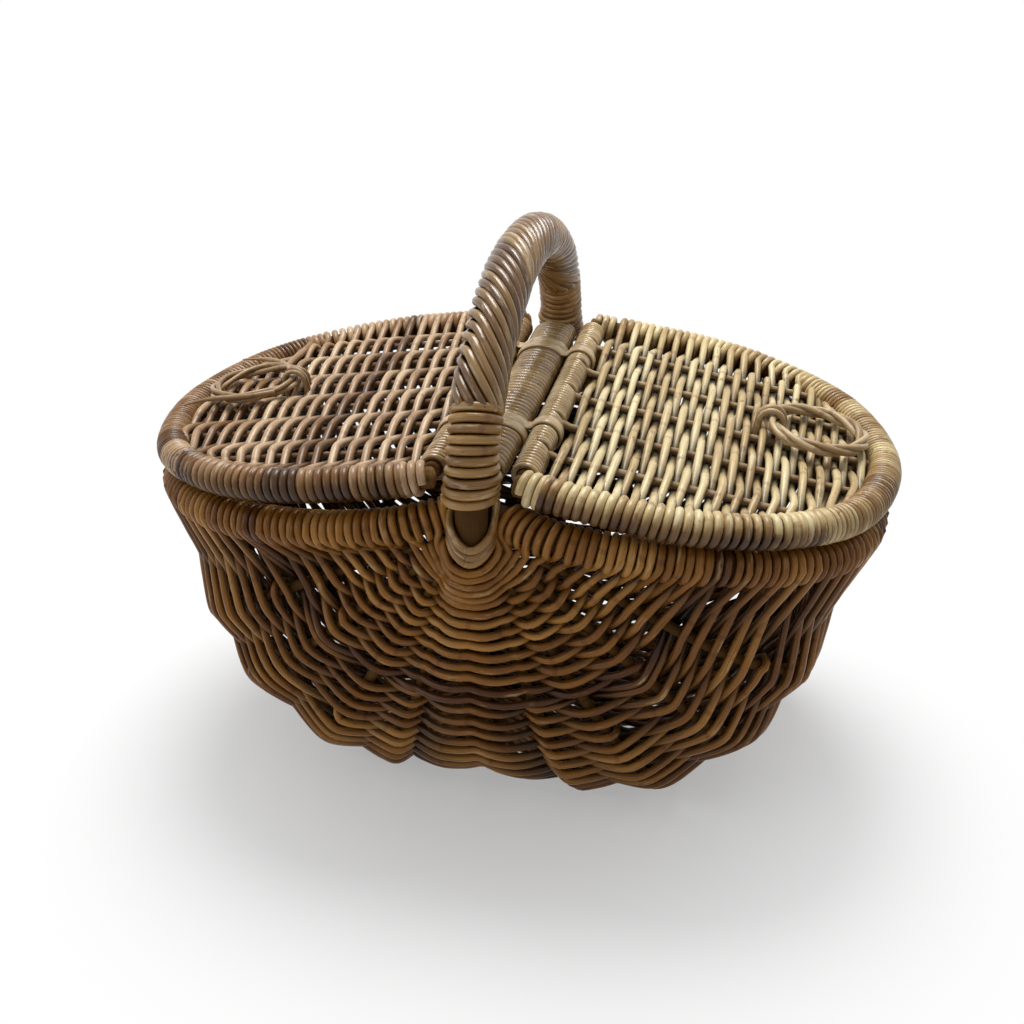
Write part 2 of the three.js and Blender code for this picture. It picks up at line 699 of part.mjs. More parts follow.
function lid(label, places, ringPlace) {
  const group = new THREE.Group();
  const barCore = barGeometry(lidBarRadius, lidBarRadius, lidBarHalfLength);
  const barSleeve = barGeometry(
    barWindingRadius, barWindingRadius, lidBarHalfLength - lidBarShow, barWindingThickness);
  group.add(piece("lid_" + label + "_bar", barCore, rodWood));
  group.add(piece("lid_" + label + "_bar_winding", barSleeve, lidCane));
  group.add(piece("lid_" + label + "_rim_rod", rod(lidPath(lidRodTail), up, lidRodRadius, lidRodSides), rodWood));
  group.add(piece("lid_" + label + "_weave", lidWeave(places, ringPlace), lidCane));
  places.forEach((y, i) => {
    const stake = stakeGeometry(barWindingRadius + clearance, stakeEnd(y), y, stakeRadius);
    group.add(piece("lid_" + label + "_stake_" + (i + 1), stake, rodWood));
  });
  const ring = new THREE.TorusGeometry(ringRadius, ringTubeRadius, ringTubeSides, ringSteps);
  const ringMesh = piece("lift_ring_" + label, ring, lidCane);
  ringMesh.position.set(ringEyeReach + ringRadius, ringPlace, ringHeight);
  group.add(ringMesh);
  const eye = rod(eyePath(ringPlace), vec(0, 1, 0), eyeRadius, eyeSides);
  group.add(piece("lift_eye_" + label, eye, lidCane));
  group.rotation.y = radians(lidSlope);
  const hinge = new THREE.Group();
  hinge.position.set(lidBarOffset, 0, barHeight);
  hinge.add(group);
  return hinge;
}

const basket = new THREE.Group();
basket.add(piece("handle_hoop", handleHoop(), rodWood));
basket.add(piece("rim_hoop", rimHoop(), rodWood));
basket.add(piece("woven_body", wovenBody(), bodyCane));
for (let order = 0; order < ribAngles.length; order++) {
  basket.add(piece("rib_left_" + (order + 1), rib(order, -1), rodWood));
  basket.add(piece("rib_right_" + (order + 1), rib(order, 1), rodWood));
}

// The bindings cover the feet of the arch and the strands cover the rest of it.
const bindingSpan = bindingLoops * bindingPitch;
const strandFrom = bindingRise + bindingSpan + strandSpacing;
const bindingEnd = bindingRise + bindingSpan;
basket.add(wound("near_base_binding",
  winding(bindingRise, bindingEnd, bindingLoops, bindingDepth, bindingWidth)));
basket.add(wound("far_base_binding",
  winding(archLength - bindingEnd, archLength - bindingRise, bindingLoops, bindingDepth, bindingWidth)));
basket.add(piece("handle_strands", ropedStrands(strandFrom, archLength - strandFrom), handleCane));
basket.add(piece("near_ear_lashing", earLashing(-1), handleCane));
basket.add(piece("far_ear_lashing", earLashing(1), handleCane));

const centreBar = new THREE.Group();
centreBar.position.z = barHeight;
centreBar.add(piece("centre_bar",
  barGeometry(centreBarHalfWidth, centreBarHalfHeight, centreBarHalfLength), rodWood));
centreBar.add(piece("centre_bar_winding",
  barGeometry(centreWindingHalfWidth, centreWindingHalfHeight, centreBarHalfLength - centreBarShow,
    barWindingThickness), lidCane));
for (const [label, side, place] of [["right", 1, rightBandPlace], ["left", -1, leftBandPlace]])
  for (const [end, way] of [["near", -1], ["far", 1]]) {
    const band = piece("hinge_band_" + label + "_" + end, hingeBand(side), bandCane);
    band.position.y = way * place;
    centreBar.add(band);
  }
basket.add(centreBar);

basket.add(lid("right", stakePlaces(rightStakeCount, rightStakePitch), rightRingPlace));
const leftSide = new THREE.Group();
leftSide.rotation.z = PI;
leftSide.add(lid("left", stakePlaces(leftStakeCount, leftStakePitch), -leftRingPlace));
basket.add(leftSide);

export default basket;
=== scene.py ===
import json
import math

import bpy
import numpy as np
from mathutils import Matrix, Vector


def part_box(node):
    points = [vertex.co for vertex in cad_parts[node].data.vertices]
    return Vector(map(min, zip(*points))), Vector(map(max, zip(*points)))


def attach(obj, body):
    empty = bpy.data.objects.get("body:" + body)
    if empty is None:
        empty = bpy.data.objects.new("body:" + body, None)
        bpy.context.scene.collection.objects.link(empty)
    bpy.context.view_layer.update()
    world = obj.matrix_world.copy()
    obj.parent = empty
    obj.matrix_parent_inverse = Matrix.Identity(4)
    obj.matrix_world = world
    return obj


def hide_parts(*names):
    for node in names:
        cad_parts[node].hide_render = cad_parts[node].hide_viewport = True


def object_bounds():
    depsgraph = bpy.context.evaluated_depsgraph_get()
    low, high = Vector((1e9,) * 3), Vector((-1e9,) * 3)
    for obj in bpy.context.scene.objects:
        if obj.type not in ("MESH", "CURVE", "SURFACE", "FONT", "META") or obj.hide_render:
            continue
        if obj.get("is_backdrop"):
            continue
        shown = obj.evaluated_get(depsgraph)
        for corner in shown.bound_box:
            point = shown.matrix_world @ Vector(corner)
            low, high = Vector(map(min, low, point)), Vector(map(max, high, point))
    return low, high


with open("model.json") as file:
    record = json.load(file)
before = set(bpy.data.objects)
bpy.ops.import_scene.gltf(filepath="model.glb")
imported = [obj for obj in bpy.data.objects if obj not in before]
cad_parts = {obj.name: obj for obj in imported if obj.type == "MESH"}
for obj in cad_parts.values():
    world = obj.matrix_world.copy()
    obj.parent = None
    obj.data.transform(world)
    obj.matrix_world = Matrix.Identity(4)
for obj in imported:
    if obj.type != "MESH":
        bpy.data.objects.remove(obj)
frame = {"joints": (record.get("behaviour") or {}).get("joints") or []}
packed_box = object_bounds()

METRE = 0.001
SEED = 7
IMAGE_PIXELS = 1024

# Places read from the frame
JOINTS = {joint["name"]: joint for joint in frame["joints"]}
LID_BAR_OFFSET, _, BAR_HEIGHT = [value / METRE for value in JOINTS["lid_right_hinge"]["pos_m"]]
FAR_REACH = {side: JOINTS[f"ring_{side}_hinge"]["pos_m"][1] / METRE for side in ("right", "left")}

# Handle hoop and rim hoop
HOOP_RADIUS = 8.5
EAR_SPAN = 130.0
EAR_HEIGHT = BAR_HEIGHT - 25.8
ARCH_FOOT = 13.4
ARCH_RISE = 99.1
ARCH_FULLNESS = 0.9
SPINE_REACH = 172.0
SPINE_WIDTH = 127.6
RIM_RADIUS = 6.5
RIM_REACH = 203.0
RIM_WIDTH = 131.0
RIM_FULLNESS = 2.7
RIM_DROOP = 23.19
RIM_DROOP_FULLNESS = 1.3
RIM_PINCH = 16.3
RIM_PINCH_LENGTH = 30.0

# Ribs
RIB_RADIUS = 3.0
RIB_TIP_RADIUS = 1.4
RIB_START = 40.0
RIB_REACHES = [203.1, 211.6, 212.0, 198.2]
RIB_WIDTHS = [113.1, 118.3, 122.2, 125.5]
RIB_ANGLES = [28.0, 43.0, 59.5, 73.0]
RIB_FULLNESS = 4.5
EAR_EASE = 0.35

# Weave of the body
BODY_ROWS = 64
EAR_ROWS = 5
GROUPED_ROWS = 24
EAR_START = 17.0
RIM_EAR_ROWS = 6
RIM_EAR_PITCH = 6.4
SPINE_EAR_PITCH = 3.8
SPINE_CLOSE_PITCH = 2.9
CANE_RADIUS = 2.46
FULLNESS = [0.92, 1.08]
WRAP_RADIUS = 2.42
WRAP_PITCH = 4.6
RIM_START = 13.0
EAR_LIFT = 3.6
EAR_LIFT_LENGTH = 62.0
RIGHT_LIFT = 4.0
CROWDING = [0.0, 0.15, 0.35, 0.65, 0.9, 1.0]
ROW_LAG = [0.0, 7.0, 6.0, 3.0, 0.8, 0.0]

# Pairs of rows that turn back round a rib: the first row of the pair, then the rib
SHORT_ROWS = {
    (0, -1): {18: 1, 26: 0, 32: 2, 42: 1, 50: 3},
    (0, 1): {21: 1, 29: 2, 37: 0, 45: 2, 53: 3},
    (1, -1): {20: 1, 34: 2, 48: 1},
    (1, 1): {19: 2, 35: 1, 47: 2},
}

# Lids
LID_SLOPE = 8.5
LID_REACH = 187.76
LID_WIDTH = 128.0
LID_OUTLINE = [[0, 0.975], [0.213, 1], [0.462, 0.98], [0.714, 0.822], [0.913, 0.515], [1, 0]]
LID_ROD_RADIUS = 5.0
LID_ROW_PITCH = 4.7
LID_FIRST_ROW = 13.5
LID_LAST_ROW = 178.0
LID_FINE_FROM = 150.0
STAKE_RADIUS = 2.2
LID_CANE_RADIUS = 2.42
STAKES = {"right": [-84, -42, 0, 42, 84], "left": [-90, -54, -18, 18, 54, 90]}
LID_BAR_RADIUS = 4.6
LID_ROWS = np.arange(LID_FIRST_ROW, LID_LAST_ROW, LID_ROW_PITCH)
SLOPE_SIN, SLOPE_COS = math.sin(math.radians(LID_SLOPE)), math.cos(math.radians(LID_SLOPE))
SIDES = {"right": 1.0, "left": -1.0}

# Tones run from dark to pale. Each range has the share of the draws that it ends at, its low and its high.
# Most canes of the body are amber brown, some are dark mauve brown and a few are pale.
TONES = {
    "body": [(0.1, 0.16, 0.3), (0.78, 0.38, 0.66), (1, 0.7, 0.92)],
    "right": [(0.14, 0.24, 0.4), (1, 0.5, 0.9)],
    "left": [(0.28, 0.2, 0.4), (1, 0.46, 0.8)],
}
TONE_SPREAD = 0.55
KNOTS_PER_MM = 0.016
GRAIN_RANGE = 9000
HINT_ROOM = 1.2

# Steps along the paths of canes, and the fine windings
CHAIN_STEP = 2.8
ROD_STEP = 4.0
COIL_STEP = 1.8
LID_FINE_PITCH, LID_FINE_RADIUS = 3.1, 1.46
LID_CORNER_PITCH, LID_CORNER_RADIUS = 4.7, 2.3
BAR_SEAT, BAR_PITCH, BAR_CANE_RADIUS = 6.4, 3.5, 1.63
CENTRE_PITCH, CENTRE_CANE_RADIUS = 4.5, 2.0
FINE_PIECE = 12

rng = np.random.default_rng(SEED)


def unit(v):
    return v / np.maximum(np.linalg.norm(v, axis=-1, keepdims=True), 1e-9)


def smoothstep(t):
    t = np.clip(t, 0, 1)
    return t * t * (3 - 2 * t)


def lengths_along(points):
    """How far each point of a polyline lies from its start."""
    return np.concatenate([[0], np.cumsum(np.linalg.norm(np.diff(points, axis=0), axis=1))])


def read_at(places, known, table):
    """The columns of a table whose rows belong to known places, read at other places."""
    return np.stack([np.interp(places, known, column) for column in table.T], -1)


def catmull_rom(rows, fine):
    """A curve with fine steps from each row to the next, without the first row and the last."""
    t = np.linspace(0, 1, fine, endpoint=False)[:, None, None]
    a, b, c, d = rows[:-3], rows[1:-2], rows[2:-1], rows[3:]
    curve = 0.5 * (2 * b + (c - a) * t + (2 * a - 5 * b + 4 * c - d) * t**2 + (3 * b - a - 3 * c + d) * t**3)
    return curve.transpose(1, 0, 2).reshape(-1, rows.shape[1])


def smooth_path(rows, step, closed=False, fine=8):
    """A smooth path through rows, whose first three columns are the place, at an even step."""
    rows = np.asarray(rows, float)
    if closed:
        padded = np.vstack([rows[-1:], rows, rows[:2]])
    else:
        padded = np.vstack([2 * rows[:1] - rows[1:2], rows, 2 * rows[-1:] - rows[-2:-1]])
    curve = np.vstack([catmull_rom(padded, fine), rows[:1] if closed else rows[-1:]])
    length = lengths_along(curve[:, :3])
    count = max(int(round(length[-1] / step)), 2)
    path = read_at(np.linspace(0, length[-1], count + 1), length, curve)
    return path[:-1] if closed else path


def groove_shade(facing):
    """How little of the painted shade between two canes reaches the parts of them that face out or in."""
    return 0.12 + 0.88 * smoothstep(0.3 + 0.75 * np.abs(facing))


def away_from(points, line, room, plain):
    """Directions away from a wrapped line where the points are near it, and else the plain ones."""
    hints = np.broadcast_to(plain, (len(points), 3)).copy()
    for chunk in np.array_split(np.arange(len(points)), max(len(points) // 2000, 1)):
        gap = np.linalg.norm(points[chunk][:, None] - line, axis=2)
        pick = gap.argmin(1)
        near = gap[np.arange(len(chunk)), pick] < room
        hints[chunk[near]] = points[chunk[near]] - line[pick[near]]
    return hints


class Canes:
    """Gathers bent strands and makes one mesh of them.

    Each point has eight columns: where it is, where it is along and across its own cane, its tone, and how
    far out it lies, which sets how much painted shade darkens it."""

    def __init__(self):
        self.blocks, self.faces, self.count = [], [], 0

    def add(self, path, radius, tone, out, sides=8, closed=False, flat=1.0, uneven=0.05, outward=None,
            hint=None):
        """Adds a cane. Its normals follow outward, or else turn as little as they can. Outward, or else hint,
        sets which sides of the cane get the painted shade between canes.
        """
        path = np.asarray(path, float)[:, :3]
        n = len(path)
        if closed:
            ahead, behind = np.roll(path, -1, 0), np.roll(path, 1, 0)
        else:
            ahead, behind = np.vstack([path[1:], path[-1:]]), np.vstack([path[:1], path[:-1]])
        tangent = unit(ahead - behind)
        length = lengths_along(path)
        phase = rng.uniform(0, 2 * math.pi, 3)
        waves = 0.6 * np.sin(length * 0.11 + phase[0]) + 0.4 * np.sin(length * 0.37 + phase[1])
        radius = (radius * (1 + uneven * waves))[:, None]
        if outward is None:
            normal = transported(tangent)
        else:
            normal = unit(outward - (outward * tangent).sum(1, keepdims=True) * tangent)
        side = np.cross(tangent, normal)
        turn = np.arange(sides) / sides * 2 * math.pi
        cosine, sine = np.cos(turn), np.sin(turn)
        across = cosine[:, None] * normal[:, None] * flat + sine[:, None] * side[:, None]
        rings = path[:, None] + across * radius[:, None]
        block = np.zeros((n, sides, 8))
        block[:, :, :3] = rings
        block[:, :, 3] = length[:, None] + rng.uniform(0, GRAIN_RANGE)
        block[:, :, 4] = cosine * radius + phase[2] * 5
        block[:, :, 5] = sine * radius
        block[:, :, 6] = np.reshape(tone, (-1, 1))
        block[:, :, 7] = np.reshape(out, (-1, 1))
        # Painted shade between canes: the sides across from outward or hint get a smaller out value and
        # render darker.
        if outward is not None:
            block[:, :, 7] *= groove_shade(cosine)
        elif hint is not None:
            block[:, :, 7] *= groove_shade((unit(rings - path[:, None]) * unit(hint)[:, None]).sum(2))
        start = self.count
        self._tube(block, closed)
        if not closed:
            for end, away, first in ((0, -tangent[0], start), (-1, tangent[-1], start + (n - 1) * sides)):
                self._cap(block[end], away * radius[end], first, end == 0)
        return self

    def strap(self, path, outward, width, thickness, tone):
        """Adds a closed flat band with softened edges that lies across Y."""
        half = width / 2
        across, rise = np.array([
            (-half, -0.5), (-half + 0.5, -1), (half - 0.5, -1), (half, -0.5), (half, 0.4), (half - 0.7, 1),
            (0, 1.25), (-half + 0.7, 1), (-half, 0.4)]).T
        rise = outward[:, None] * (rise * (thickness / 2))[:, None]
        block = np.zeros((len(path), len(across), 8))
        block[:, :, :3] = path[:, None] + across[:, None] * [0, 1.0, 0] + rise
        block[:, :, 3] = lengths_along(path)[:, None] + rng.uniform(0, GRAIN_RANGE)
        block[:, :, 4] = across
        block[:, :, 6] = tone
        # Painted shade: the band's underside and edges get a smaller out value than its top, and render
        # darker.
        block[:, :, 7] = [0.3, 0.2, 0.2, 0.3, 0.8, 1, 1, 1, 0.8]
        self._tube(block, True, True)
        return self

    def _store(self, block):
        self.blocks.append(block.reshape(-1, 8))
        self.count += len(self.blocks[-1])

    def _tube(self, block, closed, flip=False):
        """Keeps rings of points, with faces from each ring to the next."""
        n, sides = block.shape[:2]
        start = self.count
        self._store(block)
        i, k = np.arange(n if closed else n - 1)[:, None], np.arange(sides)
        nk, ni = (k + 1) % sides, (i + 1) % n
        corners = [i * sides + k, i * sides + nk, ni * sides + nk, ni * sides + k]
        if flip:
            corners = corners[:1] + corners[:0:-1]
        self.faces.append((np.stack(corners, -1).reshape(-1, 4) + start).tolist())

    def _cap(self, ring, away, first, flip):
        """Closes an end with a small bevel, paler than the cane."""
        start, k = self.count, np.arange(len(ring))
        nk = (k + 1) % len(ring)
        centre = ring[:, :3].mean(0)
        bevel = ring.copy()
        bevel[:, :3] = centre + (ring[:, :3] - centre) * 0.8 + away * 0.18
        bevel[:, 6] += 0.3
        self._store(bevel)
        a, b, c, d = first + k, first + nk, start + nk, start + k
        self.faces.append(np.stack([b, a, d, c] if flip else [a, b, c, d], -1).tolist())
        self.faces.append([list(start + (k[::-1] if flip else k))])

    def make(self, node, ending, material, body="basket", slot=None):
        """Makes the mesh that takes a node's place, named after it. The slot argument is not used."""
        mesh = bpy.data.meshes.new(f"{node}_{ending}")
        table = np.vstack(self.blocks)
        faces = [face for block in self.faces for face in block]
        mesh.from_pydata((table[:, :3] * METRE).tolist(), [], faces)
        for label, kind, field, columns in (("cane", "FLOAT_VECTOR", "vector", slice(3, 6)),
                                            ("tone", "FLOAT", "value", 6), ("out", "FLOAT", "value", 7)):
            values = table[:, columns].astype(np.float32).ravel()
            mesh.attributes.new(label, kind, "POINT").data.foreach_set(field, values)
        mesh.polygons.foreach_set("use_smooth", np.ones(len(mesh.polygons), bool))
        mesh.materials.append(CANE[material])
        mesh.update()
        piece = new_object(f"{node}_{ending}", mesh)
        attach(piece, body)
        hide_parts(node)


def new_object(name, data):
    made = bpy.data.objects.new(name, data)
    bpy.context.scene.collection.objects.link(made)
    return made


def transported(tangent):
    """Normals that turn as little as they can along a path with the given tangents."""
    first = tangent[0]
    start = np.array([0.0, 0, 1]) if abs(first[2]) < 0.9 else np.array([1.0, 0, 0])
    x, y, z = unit(start - start.dot(first) * first)
    normals = []
    for tx, ty, tz in tangent.tolist():
        dot = x * tx + y * ty + z * tz
        x, y, z = x - dot * tx, y - dot * ty, z - dot * tz
        size = math.sqrt(x * x + y * y + z * z) or 1.0
        x, y, z = x / size, y / size, z / size
        normals.append((x, y, z))
    return np.array(normals)


# Centre lines of the frame
def full_oval(c, s, width, reach, full):
    """The radius of an oval with full shoulders, from the cosine and the sine of its turn."""
    return ((np.abs(c) / width) ** full + (s / reach) ** full) ** (-1 / full)


def bow(turn, reach, half_width):
    radius = full_oval(np.cos(turn), np.sin(turn), half_width, reach, RIB_FULLNESS)
    nearest = np.minimum(turn, math.pi - turn)
    radius *= 1 - (1 - EAR_SPAN / half_width) * np.exp(-((nearest / EAR_EASE) ** 2))
    return radius * np.sin(turn), -radius * np.cos(turn)


def rib_line(order, side, turn):
    """The centre line of a rib, or of the spine after the last rib, and its outward normals."""
    spine = order == len(RIB_ANGLES)
    angle = math.pi / 2 if spine else math.radians(RIB_ANGLES[order])
    reach = SPINE_REACH if spine else RIB_REACHES[order]
    width = SPINE_WIDTH if spine else RIB_WIDTHS[order]
    out, along = bow(turn, reach, width)
    d_out, d_along = np.gradient(out), np.gradient(along)
    size = np.hypot(d_out, d_along)
    lean = np.array([0 if spine else side * math.cos(angle), 0, -math.sin(angle)])
    points = lean * out[:, None] + np.stack([0 * along, along, 0 * along + EAR_HEIGHT], 1)
    normals = lean * (d_along / size)[:, None] + np.array([0, 1, 0]) * (-d_out / size)[:, None]
    return points, normals


def rim_line(side, turn):
    """The centre line of one half of the rim hoop, and its outward normals."""
    s, c = np.maximum(np.sin(turn), 0), np.abs(np.cos(turn))
    radius = full_oval(c, s, RIM_WIDTH, RIM_REACH, RIM_FULLNESS)
    x = radius * s
    pinch = RIM_PINCH * np.exp(-((x / RIM_PINCH_LENGTH) ** 2))
    y = -np.sign(np.cos(turn)) * (radius * c - pinch)
    lift = EAR_LIFT * np.exp(-((x / EAR_LIFT_LENGTH) ** 2))
    if side > 0:
        lift += RIGHT_LIFT * np.sin(math.pi * np.clip(x / RIM_REACH, 0, 1)) ** 1.5
    points = np.stack([side * x, y, EAR_HEIGHT + lift - RIM_DROOP * s**RIM_DROOP_FULLNESS], 1)
    way = np.gradient(points, axis=0)
    return points, unit(np.stack([side * way[:, 1], -side * way[:, 0], 0 * x], 1))


def arch_line(count=400):
    turn = np.linspace(0, math.pi, count)
    rise = ARCH_RISE * np.maximum(np.sin(turn), 0) ** ARCH_FULLNESS
    return np.stack([0 * turn, -EAR_SPAN * np.cos(turn), EAR_HEIGHT + ARCH_FOOT + rise], 1)


def along_line(points, distances, *others):
    """Places at the given distances along a polyline, and unit vectors read at the same places."""
    length = lengths_along(points)
    units = [unit(read_at(distances, length, other)) for other in others]
    return [read_at(distances, length, points), *units]


def line_length(points):
    return float(np.linalg.norm(np.diff(points, axis=0), axis=1).sum())


HALF_TURN = np.linspace(1e-4, math.pi / 2, 400)
SPINE = rib_line(4, 1, np.linspace(0.02, math.pi - 0.02, 160))[0]
HOOP_LINE = np.vstack([[[0, -EAR_SPAN, EAR_HEIGHT]], SPINE, [[0, EAR_SPAN, EAR_HEIGHT]]])


def off_the_hoop(points, room):
    """Moves points that would cut the handle hoop out to its surface."""
    a, b = HOOP_LINE[:-1], HOOP_LINE[1:]
    for chunk in np.array_split(np.arange(len(points)), max(len(points) // 500, 1)):
        p = points[chunk, :3]
        t = (((p[:, None] - a) * (b - a)).sum(2) / ((b - a) ** 2).sum(1)).clip(0, 1)
        nearest = a + (b - a) * t[:, :, None]
        gap = np.linalg.norm(p[:, None] - nearest, axis=2)
        pick = gap.argmin(1)
        core = nearest[np.arange(len(p)), pick]
        away = p - core
        near = np.linalg.norm(away, axis=1)
        short = np.maximum(room - near, 0)
        points[chunk, :3] = p + away / np.maximum(near, 0.5)[:, None] * short[:, None]
    return points


# Body weave: the members from the left rim, round under the basket, to the right rim
MEMBERS = [("rim", -1)] + [(order, -1) for order in range(4)] + [(4, 1)] + [(3 - k, 1) for k in range(4)] + [
    ("rim", 1)]


def member_line(kind, side):
    points, normals = rim_line(side, HALF_TURN) if kind == "rim" else rib_line(kind, side, HALF_TURN)
    return points, normals, line_length(points)


def turning_member(half, side, row):
    """The member round which a row turns at its left (-1) or right (1) end."""
    pair = row // 2 * 2 if side < 0 else (row - 1) // 2 * 2 + 1
    order = SHORT_ROWS[half, side].get(pair)
    if side < 0:
        return 0 if order is None else order + 1
    return LAST if order is None else LAST - 1 - order


def row_places(half):
    """How far each row lies along each member from the ear. Short rows miss the outer members."""
    growth = smoothstep(np.arange(BODY_ROWS) / 34)
    close = np.where(np.arange(BODY_ROWS) < EAR_ROWS, SPINE_EAR_PITCH, SPINE_CLOSE_PITCH)
    rest = LINES[MIDDLE][2] - EAR_START - close.sum()
    grown = np.where(np.arange(BODY_ROWS) < EAR_ROWS, 0, growth)
    spine = close + grown * rest / grown.sum()
    rim = np.full(BODY_ROWS, 1.0)
    rim[:RIM_EAR_ROWS] = RIM_EAR_PITCH
    rim[RIM_EAR_ROWS:] *= (LINES[0][2] - RIM_START - rim[:RIM_EAR_ROWS].sum()) / (BODY_ROWS - RIM_EAR_ROWS)
    shares = [(np.cumsum(pitch) - pitch * 0.6) / pitch.sum() for pitch in (rim, spine)]
    places = []
    for m in range(LAST + 1):
        depth = min(m, LAST - m)
        share = (1 - CROWDING[depth]) * shares[0] + CROWDING[depth] * shares[1]
        present = [turning_member(half, -1, row) <= m <= turning_member(half, 1, row)
                   for row in range(BODY_ROWS)]
        ranks = np.cumsum(present) - 1
        stretched = np.interp(ranks * (BODY_ROWS - 1) / ranks[-1], np.arange(BODY_ROWS), share)
        first = RIM_START + (EAR_START - RIM_START) * depth / MIDDLE
        fading = np.sin(np.pi * np.clip(stretched, 0, 1)) ** 0.7
        lag = ROW_LAG[depth] * np.where(stretched < 0.5, smoothstep(stretched * 9), fading)
        places.append(first + (LINES[m][2] - first) * stretched - lag)
    return np.array(places)


LINES = [member_line(kind, side) for kind, side in MEMBERS]
LAST = len(MEMBERS) - 1
MIDDLE = LAST // 2
PLACES = [row_places(half) for half in (0, 1)]


def row_sign(row, member, half):
    """Whether a row passes outside (1) or inside (-1) a member. Near the ear the rows pass the spine and
    the ribs beside it as one."""
    if 0 < member < LAST and row < EAR_ROWS:
        return 1
    if row < GROUPED_ROWS:
        member += (member < MIDDLE) - (member > MIDDLE)
    return 1 if (row + member + half) % 2 == 0 else -1


def crossing(half, row, member):
    """Where a row crosses a rib: the rib's centre, the step from there to the cane, and its sign."""
    points, normals, _ = LINES[member]
    distance = PLACES[half][member][row] + rng.normal(0, 0.32 + 0.16 * smoothstep(row / 30))
    point, normal = along_line(points, distance, normals)
    sign = row_sign(row, member, half)
    if member == MIDDLE:
        return point, normal * sign * (HOOP_RADIUS + CANE_RADIUS + 0.1), sign
    beside = abs(point[0])
    settled = smoothstep((beside - 8) / 11)
    over_hoop = row_sign(row, MIDDLE, half) * (HOOP_RADIUS + CANE_RADIUS) * math.exp(-((beside / 24) ** 2))
    reach = 0.6 + (RIB_RADIUS + CANE_RADIUS - 0.9) * smoothstep((distance - 32) / 30)
    offset = settled * sign * reach * rng.uniform(0.92, 1.08) + (1 - settled) * over_hoop
    return point, normal * offset, sign


# Chains of control points. Each row is a place (three numbers), how far out it lies, which sets how much
# painted shade darkens it, the cane's radius, a painted shade that is added to its tone, and whether the
# cane may be cut there. A stop is a centre, the step from it to the cane, and the side on which the cane
# passes.
def stop_row(stop, radius):
    centre, step, sign = stop
    return [*(centre + step), 0.5 + 0.5 * sign, radius, 0.0, 1.0 if sign < 0 else 0.0]


def bridge(rows, radius, here, there, early=0, bow_out=0.0, smooth=False):
    """Adds the points between two stops. Where early is 1 the cane passes to its next side soon after the
    start, and where it is -1 shortly before the end. A smooth bridge has only its middle point."""
    for t in (0.5,) if smooth else SPAN_SHARES:
        passed = 1 - (1 - t) ** 2.4 if early > 0 else t**2.4 if early < 0 else smoothstep(t)
        place = here[0] * (1 - t) + there[0] * t + here[1] * (1 - passed) + there[1] * passed
        place = place + bow_out * math.sin(math.pi * t)
        rows.append([*place, 0.5 + 0.5 * (here[2] * (1 - t) + there[2] * t), radius, 0.0, 0.0])


WRAP_SEAT = RIM_RADIUS + WRAP_RADIUS
ARRIVE, LEAVE = -14.0, 600.0
TURN_STEPS = 9
SPAN_BOW = 1.6
SPAN_SHARES = (0.2, 0.5, 0.8)
RIM_SLANT = {True: 2.2, False: 6.0}
UP = np.array([0.0, 0, 1])
ZERO = np.zeros(3)


def wrap_step(outward, bend, seat=WRAP_SEAT):
    bend = math.radians(bend)
    return seat * (outward * math.cos(bend) + UP * math.sin(bend))


def rim_at(member, distance):
    points, normals, length = LINES[member]
    distance = min(max(distance, 6.0), 2 * length - 6.0)
    point, normal = along_line(points, min(distance, 2 * length - distance), normals)
    if distance > length:
        point[1] *= -1
        normal[1] *= -1
    return point, normal


def rim_turn(half, member, row):
    """The wraps with which a row turns into the next one round the rim."""
    places = PLACES[half][member]
    here = places[row]
    pitch = places[row + 1] - here if row + 1 < BODY_ROWS else WRAP_PITCH
    tops = max(2, int(round(2 * pitch / WRAP_PITCH)))
    total = LEAVE - ARRIVE + 360 * (tops - 2)
    drift = 2 * pitch / tops * total / 360
    begin = here + pitch / 2 - drift / 2
    outside_first = row_sign(row, member, half) > 0
    points = []
    steps = TURN_STEPS * tops
    for share in np.arange(steps + 1) / steps:
        bend = ARRIVE + total * (share if outside_first else 1 - share)
        slant = RIM_SLANT[outside_first] * (0.5 - 0.5 * math.sin(math.radians(bend)))
        centre, outward = rim_at(member, begin + drift * share - slant)
        # Painted shade: the wraps' out value falls on their undersides, which render darker.
        facing = 0.5 + 0.5 * math.sin(math.radians(bend) + 0.6)
        points.append([*(centre + wrap_step(outward, bend)), 0.3 + 0.7 * facing, WRAP_RADIUS, 0.0, 0.0])
    return points


def rib_turn(half, member, row):
    """The hook with which a short row turns back round a rib."""
    points, normals, _ = LINES[member]
    middle = PLACES[half][member][row:row + 2].sum() / 2
    place, normal = along_line(points, middle + np.array([-1.5, 0, 1.5]), normals)
    away = unit(np.cross(unit(place[2] - place[0]), normal[1]))
    if away[0] * (member - MIDDLE) < 0:
        away = -away
    reach = RIB_RADIUS + CANE_RADIUS - 0.1
    sign = row_sign(row, member, half)
    hook = []
    for bend in (55, 20, -20, -55):
        a = math.radians(bend)
        along = (place[2] - place[0]) * 0.3 * -bend / 55
        step = reach * (normal[1] * sign * math.sin(a) + away * math.cos(a))
        hook.append([*(place[1] + along + step), 0.9 if bend * sign > 0 else 0.4, CANE_RADIUS, 0.0, 0.0])
    return hook


